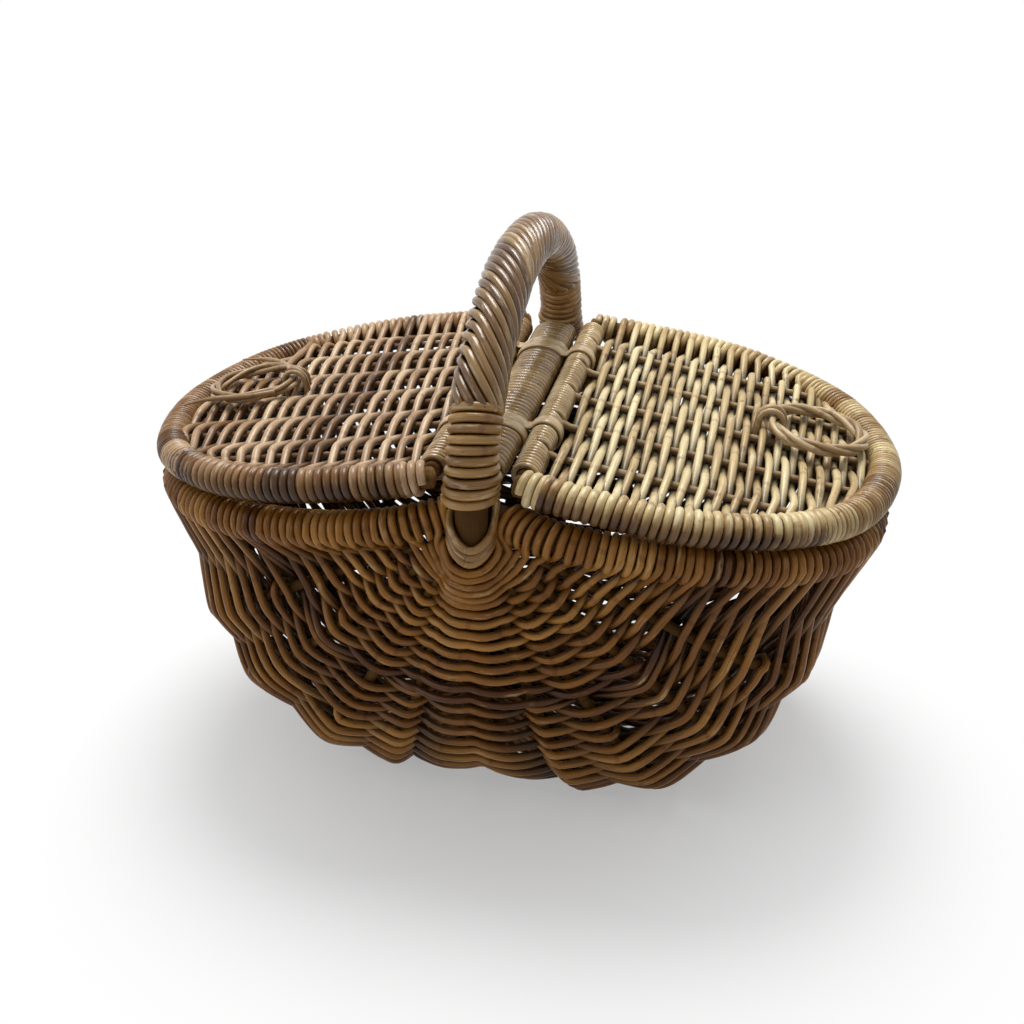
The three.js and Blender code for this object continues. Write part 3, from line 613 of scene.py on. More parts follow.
def body_chain(half):
    """Control points of the canes that weave one half of the body, from its ear to the midline."""
    start, outward = rim_at(LAST, PLACES[half][LAST][0] - 3)
    here, before = (start, wrap_step(outward, ARRIVE), 1), LAST
    rows = [stop_row(here, WRAP_RADIUS)]
    for row in range(BODY_ROWS):
        left, right = [turning_member(half, side, row) for side in (-1, 1)]
        order = range(right, left - 1, -1) if row % 2 == 0 else range(left, right + 1)
        for member in order:
            if member in (0, LAST):
                continue
            there = crossing(half, row, member)
            smooth = before in (0, LAST)
            bulge = 0 if smooth else SPAN_BOW * min(1, np.linalg.norm(there[0] - here[0]) / 30)
            bow_out = unit((here[0] + there[0]) / 2 - [0, 0, EAR_HEIGHT]) * bulge
            bridge(rows, CANE_RADIUS, here, there, (member == MIDDLE) - (before == MIDDLE), bow_out, smooth)
            rows.append(stop_row(there, CANE_RADIUS))
            here, before = there, member
        finish = order[-1]
        sign = row_sign(row, finish, half)
        if finish in (0, LAST):
            turn = rim_turn(half, finish, row)
            if row + 1 == BODY_ROWS:
                turn = turn[:TURN_STEPS]
            bridge(rows, CANE_RADIUS, here, (np.array(turn[0][:3]), ZERO, sign), smooth=True)
            before = finish
        else:
            turn = rib_turn(half, finish, row)
        rows.extend(turn)
        here = np.array(turn[-1][:3]), ZERO, -sign
    table = np.array(rows)
    table[:, 4] *= FULLNESS[half]
    table[:, :3] = off_the_hoop(table[:, :3], HOOP_RADIUS + CANE_RADIUS + 0.1)
    table[:, 2] = np.maximum(table[:, 2], CANE_RADIUS + 0.1)
    if half:
        table[:, 1] *= -1
    return table


def drawn_tone(kind):
    """A tone from the range that a first draw picks."""
    pick = rng.uniform()
    low, high = next(ends for limit, *ends in TONES[kind] if pick < limit)
    return rng.uniform(low, high)


def cuts(count, next_stop, shortest=1):
    """Starts and stops that cut a path of count points into pieces. A last piece of fewer points than the
    shortest joins the one before it."""
    start = 0
    while start < count - 2:
        stop = min(next_stop(start), count - 1)
        if count - stop < shortest:
            stop = count - 1
        yield start, stop
        start = stop


def lay_chain(canes, chain, kind, hints, shortest=500, longest=1500):
    """Cuts a long chain of control points into canes at places where it lies inside."""
    length = lengths_along(chain[:, :3])

    def next_stop(start):
        goal = length[start] + rng.uniform(shortest, longest)
        places = np.where((length >= goal) & (chain[:, 6] > 0))[0]
        return int(places[0]) if len(places) else len(chain)

    for start, stop in cuts(len(chain), next_stop):
        path = smooth_path(chain[start:stop + 1, :6], CHAIN_STEP)
        tone = drawn_tone(kind)
        radius = path[:, 4] * rng.uniform(0.94, 1.07)
        canes.add(path, radius, tone + path[:, 5], path[:, 3], hint=hints(path[:, :3]))


# Materials
class Nodes:
    """Builds the node tree of a material or a world."""

    def __init__(self, owner):
        owner.use_nodes = True
        self.tree = owner.node_tree
        self.tree.nodes.clear()

    def __call__(self, kind, inputs=None, **values):
        """Makes a node, sets its values, and sets each input or links it to another node's output."""
        made = self.tree.nodes.new(kind)
        for key, value in values.items():
            setattr(made, key, value)
        for key, value in (inputs or {}).items():
            if isinstance(value, bpy.types.NodeSocket):
                self.tree.links.new(value, made.inputs[key])
            else:
                made.inputs[key].default_value = value
        return made


def cane_material(name, colours, roughness=0.34, coat=0.12, recess_shade_and_dirt=0.12, specular=0.25, blotches=0.0,
                  scuffed=0.5, scuff=(0.55, 0.45, 0.33)):
    """Cane or peeled wood: long grain, patches, node rings, specks, pale scuffs, and darker hollows that are
    painted shade with some dirt.
    """
    material = bpy.data.materials.new(name)
    node = Nodes(material)

    def attribute(label, output):
        return node("ShaderNodeAttribute", attribute_name=label).outputs[output]

    def maths(operation, a, b, clamp=False):
        return node("ShaderNodeMath", {0: a, 1: b}, operation=operation, use_clamp=clamp).outputs[0]

    def times(a, b):
        return maths("MULTIPLY", a, b)

    def plus(a, b, clamp=False):
        return maths("ADD", a, b, clamp)

    def noise(scale, detail=2.0, rough=0.5):
        stretched = node("ShaderNodeVectorMath", {0: place, 1: scale}, operation="MULTIPLY").outputs[0]
        return node("ShaderNodeTexNoise", {"Scale": 1.0, "Detail": detail, "Roughness": rough,
                                           "Vector": stretched}).outputs["Fac"]

    def ranged(value, low, high, to_low=0.0, to_high=1.0):
        limits = {"From Min": low, "From Max": high, "To Min": to_low, "To Max": to_high}
        return node("ShaderNodeMapRange", {"Value": value, **limits},
                    interpolation_type="SMOOTHSTEP").outputs["Result"]

    def mixed(factor, a, b, blend="MIX"):
        return node("ShaderNodeMix", {"Factor": factor, 6: a, 7: (*b, 1)}, data_type="RGBA",
                    blend_type=blend).outputs[2]

    place, tone, out = attribute("cane", "Vector"), attribute("tone", "Fac"), attribute("out", "Fac")
    streaks = noise((0.035, 1.1, 1.1), 4.0, 0.6)
    patches = noise((0.022, 0.12, 0.12))
    specks = noise((0.35, 0.9, 0.9))
    wear = noise((0.05, 0.25, 0.25), 3.0, 0.65)
    shade = plus(tone, times(maths("SUBTRACT", patches, 0.5), TONE_SPREAD))
    shade = plus(shade, times(maths("SUBTRACT", streaks, 0.5), TONE_SPREAD * 0.9), True)
    ramp = node("ShaderNodeValToRGB", {"Fac": shade})
    stops = ramp.color_ramp.elements
    while len(stops) < len(colours):
        stops.new(0.5)
    for k, colour in enumerate(colours):
        stops[k].position = k / (len(colours) - 1)
        stops[k].color = (*colour, 1)
    along = node("ShaderNodeSeparateXYZ", {0: place}).outputs["X"]
    knots = node("ShaderNodeTexVoronoi", {"Scale": KNOTS_PER_MM, "W": along}, voronoi_dimensions="1D",
                 feature="F1")
    knot = ranged(knots.outputs["Distance"], 0.012, 0.03, 1.0, 0.0)
    colour = mixed(times(knot, 0.5), ramp.outputs["Color"], (0.55, 0.42, 0.35), "MULTIPLY")
    colour = mixed(times(ranged(specks, 0.63, 0.72), 0.6), colour, (0.45, 0.33, 0.27), "MULTIPLY")
    if blotches:
        marks = times(ranged(noise((0.11, 0.16, 0.16), 1.0), 0.66, 0.72), blotches)
        colour = mixed(marks, colour, (0.075, 0.026, 0.028))
    scuffs = times(times(ranged(wear, 0.56, 0.68), ranged(out, 0.6, 0.95)), scuffed)
    colour = mixed(scuffs, colour, scuff)
    # Painted shade with some dirt: the lower a point's out value, the darker it renders, down to the recess
    # factor.
    hollow_shade_and_dirt = ranged(out, 0.0, 0.75, recess_shade_and_dirt, 1.0)
    shaded = node("ShaderNodeVectorMath", {0: colour, "Scale": hollow_shade_and_dirt}, operation="SCALE")
    rough = plus(times(streaks, 0.22), roughness - 0.11)
    rough = plus(rough, times(scuffs, 0.25), True)
    height = plus(times(noise((0.05, 2.2, 2.2), 3.0), 0.6), times(knot, 0.5))
    height = plus(height, times(noise((0.3, 0.55, 0.55)), 1.1))
    bump = node("ShaderNodeBump", {"Strength": 0.35, "Distance": 0.0004, "Height": height})
    shader = node("ShaderNodeBsdfPrincipled", {
        "Base Color": shaded.outputs[0], "Roughness": rough, "Normal": bump.outputs[0], "Coat Weight": coat,
        "Coat Roughness": 0.22, "Specular IOR Level": specular})
    node("ShaderNodeOutputMaterial", {"Surface": shader.outputs[0]})
    return material


# Each material: its colours from dark to pale, and where it differs from the plain cane
CANE = {name: cane_material(name, colours, **values) for name, colours, values in (
    ("body_cane", [(0.042, 0.013, 0.003), (0.108, 0.036, 0.006), (0.240, 0.097, 0.015), (0.45, 0.225, 0.055)],
     dict(roughness=0.3, coat=0.05, recess_shade_and_dirt=0.1, scuff=(0.58, 0.42, 0.20), specular=0.16, blotches=0.25)),
    ("rod_wood", [(0.042, 0.018, 0.005), (0.105, 0.050, 0.013), (0.30, 0.18, 0.07)],
     dict(roughness=0.7, coat=0.0, recess_shade_and_dirt=0.25, specular=0.08, scuffed=0.15)),
    ("stake_right", [(0.13, 0.075, 0.034), (0.31, 0.205, 0.105), (0.48, 0.36, 0.20)],
     dict(roughness=0.5, coat=0.0, recess_shade_and_dirt=0.2, specular=0.16)),
    ("stake_left", [(0.045, 0.020, 0.009), (0.13, 0.070, 0.033), (0.25, 0.155, 0.085)],
     dict(roughness=0.5, coat=0.0, recess_shade_and_dirt=0.2, specular=0.16)),
    ("lid_right_cane", [(0.080, 0.034, 0.011), (0.245, 0.130, 0.042), (0.55, 0.41, 0.20), (0.78, 0.67, 0.40)],
     dict(scuff=(0.76, 0.68, 0.47), blotches=0.5)),
    ("lid_left_cane", [(0.060, 0.024, 0.006), (0.19, 0.088, 0.024), (0.41, 0.262, 0.146), (0.66, 0.50, 0.31)],
     dict(scuff=(0.66, 0.54, 0.36), blotches=0.25)),
    ("handle_cane", [(0.045, 0.017, 0.004), (0.122, 0.054, 0.011), (0.22, 0.118, 0.034), (0.36, 0.23, 0.09)],
     dict(roughness=0.28, coat=0.4, recess_shade_and_dirt=0.07, scuff=(0.56, 0.44, 0.27), specular=0.3)),
    ("bar_cane", [(0.055, 0.024, 0.008), (0.19, 0.10, 0.036), (0.42, 0.275, 0.115), (0.66, 0.51, 0.27)],
     dict(roughness=0.28, coat=0.5, recess_shade_and_dirt=0.05, specular=0.35)),
    ("binding_cane", [(0.065, 0.026, 0.006), (0.19, 0.088, 0.019), (0.36, 0.195, 0.052), (0.52, 0.34, 0.13)],
     dict(roughness=0.3, coat=0.35, recess_shade_and_dirt=0.08, scuff=(0.64, 0.50, 0.28), specular=0.24)),
    ("band_cane", [(0.26, 0.15, 0.062), (0.50, 0.35, 0.18), (0.70, 0.56, 0.35)], dict(coat=0.25, recess_shade_and_dirt=0.2)),
    ("ring_right_cane", [(0.13, 0.066, 0.026), (0.36, 0.235, 0.115), (0.60, 0.46, 0.26)],
     dict(roughness=0.36, recess_shade_and_dirt=0.15)),
    ("ring_left_cane", [(0.09, 0.045, 0.019), (0.26, 0.155, 0.072), (0.47, 0.33, 0.18)],
     dict(roughness=0.36, recess_shade_and_dirt=0.15)),
)}


# Body
full_turn = np.linspace(0.0, math.pi, 180)[1:-1]
ear_y = RIM_WIDTH - RIM_PINCH
RIM_LINE = np.vstack([[[0, -ear_y, EAR_HEIGHT]], rim_line(1, full_turn)[0], [[0, ear_y, EAR_HEIGHT]],
                      rim_line(-1, full_turn[::-1])[0]])


def body_hints(points):
    plain = (points - [0, 0, EAR_HEIGHT]) / [RIM_REACH**2, RIM_WIDTH**2, SPINE_REACH**2]
    return away_from(points, smooth_path(RIM_LINE, 2.5, closed=True), WRAP_SEAT + HINT_ROOM, plain)


body = Canes()
for half in (0, 1):
    lay_chain(body, body_chain(half), "body", body_hints)
body.make("woven_body", "canes", "body_cane")

HOOP_PATH = np.vstack([arch_line(120), HOOP_LINE[::-1]])
for hoop_name, line, radius, tone, out, sides in (("handle_hoop", HOOP_PATH, HOOP_RADIUS, 0.32, 0.55, 16),
                                                  ("rim_hoop", RIM_LINE, RIM_RADIUS + 0.7, 0.3, 0.5, 14)):
    path = smooth_path(line, ROD_STEP, closed=True)
    hoop = Canes().add(path, radius, tone, out, sides, closed=True, uneven=0.01)
    hoop.make(hoop_name, "wood", "rod_wood")

for side_name, side in SIDES.items():
    for order in range(4):
        points = rib_line(order, side, np.linspace(0, math.pi, 300)[1:-1])[0]
        length = line_length(points)
        distances = np.linspace(RIB_START - 4, length - RIB_START + 4, 130)
        path = along_line(points, distances)[0]
        taper = smoothstep(np.minimum(distances, length - distances) / RIB_START - 0.6)
        radius = RIB_TIP_RADIUS + (RIB_RADIUS - RIB_TIP_RADIUS) * taper
        rib = Canes().add(path, radius, rng.uniform(0.2, 0.6), 0.6, sides=10)
        rib.make(f"rib_{side_name}_{order + 1}", "cane", "rod_wood")


# Lids. The rod's centre line runs in the lid's plane, from the near corner round the end to the far one.
knots = np.array([[u, -y] for u, y in LID_OUTLINE] + LID_OUTLINE[-2::-1]) * [LID_REACH, LID_WIDTH]
OUTLINE = np.vstack([catmull_rom(np.vstack([knots[:1], knots, knots[-1:]]), 24), knots[-1:]])
OUTLINE_3D = np.column_stack([OUTLINE, np.zeros(len(OUTLINE))])
OUTLINE_LENGTH = lengths_along(OUTLINE)
TANGENT = unit(np.gradient(OUTLINE_3D, axis=0))
OUTWARD = np.stack([TANGENT[:, 1], -TANGENT[:, 0], 0 * TANGENT[:, 0]], 1)
NEAR_HALF = OUTLINE[:, 1] <= 0
LID_WRAP_SEAT = LID_ROD_RADIUS + WRAP_RADIUS - 0.1
# Painted shade added to the tone of a rod's wraps, near and far: all round, and more on their outer and lower
# sides.
NEAR_ROD_PAINTED_SHADE = {"right": (-0.02, -0.6), "left": (-0.28, -0.24)}
FAR_ROD_PAINTED_SHADE = (-0.02, -0.33)


def outline_at(distance):
    return read_at(distance, OUTLINE_LENGTH, OUTLINE_3D), unit(read_at(distance, OUTLINE_LENGTH, OUTWARD))


def outline_distance(u, way):
    """The distance along the outline at which it is u from the bar, on the near or the far side."""
    distance = np.interp(u, OUTLINE[NEAR_HALF, 0], OUTLINE_LENGTH[NEAR_HALF])
    return distance if way < 0 else OUTLINE_LENGTH[-1] - distance


def on_lid(points, side):
    """Turns points of a lid's own frame, out, along and up, into places on the basket."""
    u, y, w = np.asarray(points, float).T
    return np.stack([side * (LID_BAR_OFFSET + u * SLOPE_COS + w * SLOPE_SIN), y,
                     BAR_HEIGHT - u * SLOPE_SIN + w * SLOPE_COS], 1)


def lid_row(u, row, stakes):
    """Crossings of one row, from the near side to the far side, without its ends on the rod."""
    crossings = []
    reach = abs(outline_at(outline_distance(u, -1))[0][1])
    for k, y in enumerate(stakes):
        if abs(y) > reach - 7:
            continue
        sign = 1 if (row + k) % 2 == 0 else -1
        place = np.array([u + rng.normal(0, 0.25), y, 0])
        crossings.append((place, UP * sign * (STAKE_RADIUS + LID_CANE_RADIUS - 0.2), sign))
    return crossings


def rod_turn(way, u, next_u, over_first, near_painted_shade):
    """The wraps with which a row of a lid turns into the next one round the rod."""
    begin, finish = outline_distance(u, way), outline_distance(next_u, way)
    tops = max(2, int(round(2 * abs(finish - begin) / WRAP_PITCH)))
    total = 360 * tops - 100
    top_shares = [((40 if over_first else 220) + 360 * k) / total for k in range(tops)]
    drift = (finish - begin) * 2 / tops * total / 360
    first = begin + (finish - begin) / 2 - drift * sum(top_shares) / tops
    top_painted_shade, side_painted_shade = near_painted_shade if way < 0 else FAR_ROD_PAINTED_SHADE
    points = []
    steps = TURN_STEPS * tops
    for share in np.arange(steps + 1) / steps:
        bend = 130 - total * share if over_first else -130 + total * share
        centre, outward = outline_at(first + drift * share)
        lean = math.sin(math.radians(bend))
        # Painted shade: the wraps darken all round by the first value and more on their outer and lower sides
        # by the second; their out value falls towards the underside as well.
        shade = top_painted_shade + side_painted_shade * smoothstep(0.95 - 1.05 * lean)
        place = centre + wrap_step(outward, bend, LID_WRAP_SEAT)
        points.append([*place, 0.3 + 0.7 * (0.5 + 0.5 * lean), WRAP_RADIUS, shade, 0.0])
    return points


def lid_chain(stakes, near_painted_shade):
    """Control points of the canes that weave a lid out from its bar, and wrap its rod at each turn."""
    rows, here = [], None
    inner = LID_ROWS[LID_ROWS < LID_FINE_FROM]
    for row, u in enumerate(inner):
        way = -1 if row % 2 == 0 else 1
        crossings = lid_row(u, row, stakes)[::way]
        if here is None:
            sign = -crossings[0][2]
            centre, outward = outline_at(outline_distance(u, 1))
            here = centre + wrap_step(outward, 130 * sign, LID_WRAP_SEAT), ZERO, sign
            rows.append([*here[0], 0.5, WRAP_RADIUS, 0.0, 0.0])
        for there in crossings:
            bridge(rows, LID_CANE_RADIUS, here, there)
            rows.append(stop_row(there, LID_CANE_RADIUS))
            here = there
        sign = here[2]
        if row + 1 < len(inner):
            turn = rod_turn(way, u, inner[row + 1], sign < 0, near_painted_shade)
        else:
            centre, outward = outline_at(outline_distance(u, way))
            turn = [centre + wrap_step(outward, -130 * sign, LID_WRAP_SEAT)]
        bridge(rows, LID_CANE_RADIUS, here, (np.array(turn[0][:3]), ZERO, -sign))
        if row + 1 < len(inner):
            rows.extend(turn)
            here = np.array(turn[-1][:3]), ZERO, sign
    return np.array(rows)


def helix(line_at, begin, end, seat, pitch):
    """A winding about a line, from one distance along it to another. line_at gives the line's place and
    its outward way."""
    turns = (end - begin) / pitch
    count = int(turns * 12)
    points = []
    for share in np.arange(count + 1) / count:
        bend = 2 * math.pi * turns * share
        centre, outward = line_at(begin + (end - begin) * share)
        points.append(centre + seat * (outward * math.cos(bend) + UP * math.sin(bend)))
    return np.array(points)


def lay_fine(canes, path, radius, tones, shortest, longest, hints):
    """Lays a long fine winding as several canes, each of its own tone."""
    path = smooth_path(path, 2.2, fine=3)
    length = lengths_along(path)
    next_stop = lambda start: int(np.searchsorted(length, length[start] + rng.uniform(shortest, longest)))
    for start, stop in cuts(len(path), next_stop, FINE_PIECE):
        piece = path[start:stop + 1]
        canes.add(piece, radius, tones(), 0.9, hint=hints(piece))


def winding_tone():
    return rng.uniform(0.5, 0.74)


def box_mm(node):
    return [np.array(corner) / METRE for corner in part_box(node)]


def lid_weave(lid, side_name, side):
    """The woven panel: rows that wrap the rod, close to the end rows that don't, and fine windings there."""
    stakes = STAKES[side_name]
    weave = Canes()
    chain = lid_chain(stakes, NEAR_ROD_PAINTED_SHADE[side_name])
    chain[:, :3] = on_lid(chain[:, :3], side)
    rod_line = on_lid(smooth_path(OUTLINE_3D[::4], 2.5), side)
    lid_up = np.array([side * SLOPE_SIN, 0, SLOPE_COS])
    hints = lambda points: away_from(points, rod_line, LID_WRAP_SEAT + HINT_ROOM, lid_up)
    lay_chain(weave, chain, side_name, hints, 350, 1100)
    for row, u in enumerate(LID_ROWS):
        if u < LID_FINE_FROM:
            continue
        near, far = [(place, -out * (LID_ROD_RADIUS + 1.0), 0)
                     for place, out in (outline_at(outline_distance(u, way)) for way in (-1, 1))]
        stops = [near, *lid_row(u, row, stakes), far]
        rows = [stop_row(near, LID_CANE_RADIUS)]
        for here, there in zip(stops, stops[1:]):
            bridge(rows, LID_CANE_RADIUS, here, there)
            rows.append(stop_row(there, LID_CANE_RADIUS))
        path = smooth_path(rows, CHAIN_STEP)
        path[:, :3] = on_lid(path[:, :3], side)
        weave.add(path, LID_CANE_RADIUS, drawn_tone(side_name), path[:, 3], hint=hints(path[:, :3]))
    begin, finish = [outline_distance(LID_FINE_FROM - 3, way) for way in (-1, 1)]
    fine = on_lid(helix(outline_at, begin, finish, LID_ROD_RADIUS + 3.1, LID_FINE_PITCH), side)
    lay_fine(weave, fine, LID_FINE_RADIUS, lambda: drawn_tone(side_name) - 0.13, 160, 420, hints)
    for way in (-1, 1):
        begin, finish = sorted((outline_distance(1.0, way), outline_distance(LID_FIRST_ROW - 1.5, way)))
        coil = on_lid(helix(outline_at, begin, finish, LID_WRAP_SEAT, LID_CORNER_PITCH), side)
        lay_fine(weave, coil, LID_CORNER_RADIUS, lambda: rng.uniform(0.62, 0.72), 400, 500, hints)
    weave.make(f"{lid}_weave", "canes", f"{lid}_cane", lid)


def bar_winding(lid, side_name, side):
    """The winding of a lid's bar, whose turns stand apart where a stake leaves the bar."""
    low, high = box_mm(f"{lid}_bar_winding")
    bar_at = lambda y: (np.array([0, y, 0.0]), ACROSS)
    coil = smooth_path(helix(bar_at, low[1] + 1.5, high[1] - 1.5, BAR_SEAT, BAR_PITCH), COIL_STEP, fine=3)
    for y in STAKES[side_name]:
        beside = coil[:, 1] - y
        facing = smoothstep((coil[:, 0] / BAR_SEAT + 0.1) * 1.4)
        coil[:, 1] += np.sign(beside) * 2.1 * np.exp(-((beside / 4.5) ** 2)) * facing
    u, y, w = unit(coil * [1, 0, 1]).T
    outward = np.stack([side * (u * SLOPE_COS + w * SLOPE_SIN), y, w * SLOPE_COS - u * SLOPE_SIN], 1)
    placed = on_lid(coil, side)
    winding = Canes()
    for start, stop in cuts(len(placed), lambda start: start + int(rng.uniform(110, 260)), FINE_PIECE):
        tone = winding_tone() + (0.12 if side > 0 else 0)
        winding.add(placed[start:stop + 1], BAR_CANE_RADIUS, tone, 0.95, outward=outward[start:stop + 1])
    winding.make(f"{lid}_bar_winding", "canes", "bar_cane", lid, f"{lid}_cane")


ACROSS = np.array([1.0, 0, 0])
ROD_TAIL = [2.7, 0, 0]
for side_name, side in SIDES.items():
    lid = f"lid_{side_name}"
    lid_weave(lid, side_name, side)
    path = smooth_path([OUTLINE_3D[0] - ROD_TAIL, *OUTLINE_3D[::6], OUTLINE_3D[-1] - ROD_TAIL], ROD_STEP)
    rod = Canes().add(on_lid(path, side), LID_ROD_RADIUS + 0.6, 0.5, 0.7, sides=14, uneven=0.02)
    rod.make(f"{lid}_rim_rod", "wood", "rod_wood", lid)
    low, high = box_mm(f"{lid}_bar")
    path = on_lid(smooth_path([[0, low[1] + 0.5, 0], [0, high[1] - 0.5, 0]], 5.0), side)
    bar = Canes().add(path, LID_BAR_RADIUS, 0.4, 0.7, sides=14, uneven=0.02)
    bar.make(f"{lid}_bar", "wood", "rod_wood", lid)
    bar_winding(lid, side_name, side)
    for k, y in enumerate(STAKES[side_name]):
        node = f"{lid}_stake_{k + 1}"
        low, high = box_mm(node)
        reach = (max(abs(low[0]), abs(high[0])) - LID_BAR_OFFSET) / SLOPE_COS - 1
        path = smooth_path([[0.0, y, 1.0], [6.0, y, 1.2], [12.0, y, 0.5], [18.0, y, 0], [reach, y, 0]], 4.0)
        stake = Canes().add(on_lid(path, side), STAKE_RADIUS * 0.97, rng.uniform(0.45, 0.8), 0.85, sides=10)
        stake.make(node, "cane", f"stake_{side_name}", lid, "rod_wood")


# Handle: twisted strands, bindings and ear lashings
ARCH = arch_line()
ARCH_LENGTH = line_length(ARCH)
ARCH_TANGENT = unit(np.gradient(ARCH, axis=0))
BINDING_RISE = 4.6
BINDING_SPAN = 48.5
BINDING_TURNS = 10
STRAND_FROM = 55.5
STRANDS = 12
STRAND_TURNS = 3.0
STRAND_RADIUS = 2.5
STRAND_LAP = 5.0
GAP_SHARE, GAP_BEND, GAP_WIDTH = 0.13, -1.0, 0.3


def arch_at(distances):
    place, tangent = along_line(ARCH, distances, ARCH_TANGENT)
    return place, unit(np.cross(np.broadcast_to(ACROSS, tangent.shape), tangent))


def round_arch(normal, bend):
    """Ways out from the arch, turned round it by the given angles."""
    return normal * np.cos(bend)[:, None] + ACROSS * np.sin(bend)[:, None]


strands = Canes()
for k in range(STRANDS):
    share = np.linspace(0, 1, 90)
    place, normal = arch_at(STRAND_FROM - STRAND_LAP + (ARCH_LENGTH - 2 * (STRAND_FROM - STRAND_LAP)) * share)
    wander = 0.06 * np.sin(share * 11 + rng.uniform(0, 6)) * np.sin(share * math.pi)
    bend = 2 * math.pi * (k / STRANDS - STRAND_TURNS * share) + wander
    beside = (bend - GAP_BEND + math.pi) % (2 * math.pi) - math.pi
    near_gap = np.exp(-((beside / 0.9) ** 2) - ((share - GAP_SHARE) / 0.08) ** 2)
    bend += GAP_WIDTH * np.tanh(beside / 0.25) * near_gap
    seat = HOOP_RADIUS + 0.6 + STRAND_RADIUS + rng.uniform(-0.1, 0.15)
    path = place + seat * round_arch(normal, bend)
    radius = STRAND_RADIUS * rng.uniform(0.94, 1.05)
    strands.add(path, radius, rng.uniform(0.22, 0.74), 0.95, sides=9, hint=path - place)
strands.make("handle_strands", "canes", "handle_cane")

# The lashing's path round both hoops: across the front, behind, and back across the front
LASHING = [(0.12, 1, -8.5), (0.62, 0.8, -6.5), (1.0, 0.15, -1.0)]
LASHING_END = [(-1.02, 0.15, 3.5), (-0.82, 0.68, -0.5), (-0.42, 0.95, -5.5)]
LASHING_BEHIND = [(0.95, 0.5, 0.95), (0.6, -0.5, 1.05), (0, -1.02, 0.5)]
AROUND_HOOP, AROUND_RIM = HOOP_RADIUS + 2.4, RIM_RADIUS + 2.4
LASHED_RIM = EAR_SPAN - HOOP_RADIUS - 0.3 - RIM_RADIUS


def in_front(rows, sign):
    return [[x * AROUND_HOOP, sign * (EAR_SPAN + y * AROUND_HOOP), EAR_HEIGHT + z] for x, y, z in rows]


for end, label in ((0, "near"), (1, "far")):
    share = np.linspace(0, 1, 140)
    distance = BINDING_RISE + BINDING_SPAN * share
    place, normal = arch_at(ARCH_LENGTH - distance if end else distance)
    bend = 2 * math.pi * BINDING_TURNS * share * (-1 if end else 1) + math.pi
    loose = smoothstep((0.45 - share) * 5) * (1.1 + 0.7 * np.sin(share * 52))
    away = round_arch(normal, bend)
    path = place + (HOOP_RADIUS + 0.5 + 2.45 + loose[:, None]) * away
    path = smooth_path(np.hstack([path, away]), 2.4, fine=3)
    loop_tone = 0.52 + 0.16 * np.sin(np.linspace(0, 40, len(path)) + end)
    binding = Canes().add(path, 2.5, loop_tone, 0.95, sides=10, outward=path[:, 3:])
    binding.make(f"{label}_base_binding", "cane", "binding_cane", slot="handle_cane")

    sign = 1 if end else -1
    behind = [[x * AROUND_HOOP, sign * (LASHED_RIM + y * AROUND_RIM),
               EAR_HEIGHT + z * AROUND_RIM] for x, y, z in LASHING_BEHIND]
    behind += [[-x, y, z] for x, y, z in behind[-2::-1]]
    loop = np.array(in_front(LASHING, sign) + behind + in_front(LASHING_END, sign))
    lashing = Canes()
    for k, shift in enumerate((-4.4, -0.4, 3.6)):
        tilt = np.column_stack([0 * loop[:, 0], 0 * loop[:, 0], -0.05 * (k - 1) * loop[:, 0]])
        path = smooth_path(loop + [0, 0, shift] + tilt, 2.5, closed=True)
        lashing.add(path, 2.15, rng.uniform(0.35, 0.6), 0.9, closed=True)
    lashing.make(f"{label}_ear_lashing", "canes", "binding_cane", slot="handle_cane")


# Centre bar and hinge bands
CENTRE_WIDTH, CENTRE_HEIGHT = 10.5, 5.5
low, high = box_mm("centre_bar")
centre = Canes()
for x in (-5.2, 0, 5.2):
    path = smooth_path([[x, low[1] + 0.6, BAR_HEIGHT], [x, high[1] - 0.6, BAR_HEIGHT]], 6.0)
    centre.add(path, 5.2, 0.4, 0.7, sides=12, uneven=0.02)
centre.make("centre_bar", "wood", "rod_wood")

low, high = [corner[1] + margin for corner, margin in zip(box_mm("centre_bar_winding"), (2.2, -2.2))]
turns = (high - low) / CENTRE_PITCH
bend = np.linspace(0, 2 * math.pi * turns, int(turns * 20))
coil = np.stack([(CENTRE_WIDTH + 1.8) * np.cos(bend), np.linspace(low, high, len(bend)),
                 BAR_HEIGHT + (CENTRE_HEIGHT + 1.8) * np.sin(bend)], 1)
coil = smooth_path(coil, COIL_STEP, fine=3)
outward = unit((coil - [0, 0, BAR_HEIGHT]) * [1 / CENTRE_WIDTH**2, 0, 1 / CENTRE_HEIGHT**2])
winding = Canes()
for part in np.array_split(np.arange(len(coil)), 5):
    part = np.arange(part[0], min(part[-1] + 2, len(coil)))
    winding.add(coil[part], CENTRE_CANE_RADIUS, winding_tone(), 0.95, sides=10, flat=0.85,
                outward=outward[part])
winding.make("centre_bar_winding", "canes", "bar_cane", slot="lid_right_cane")

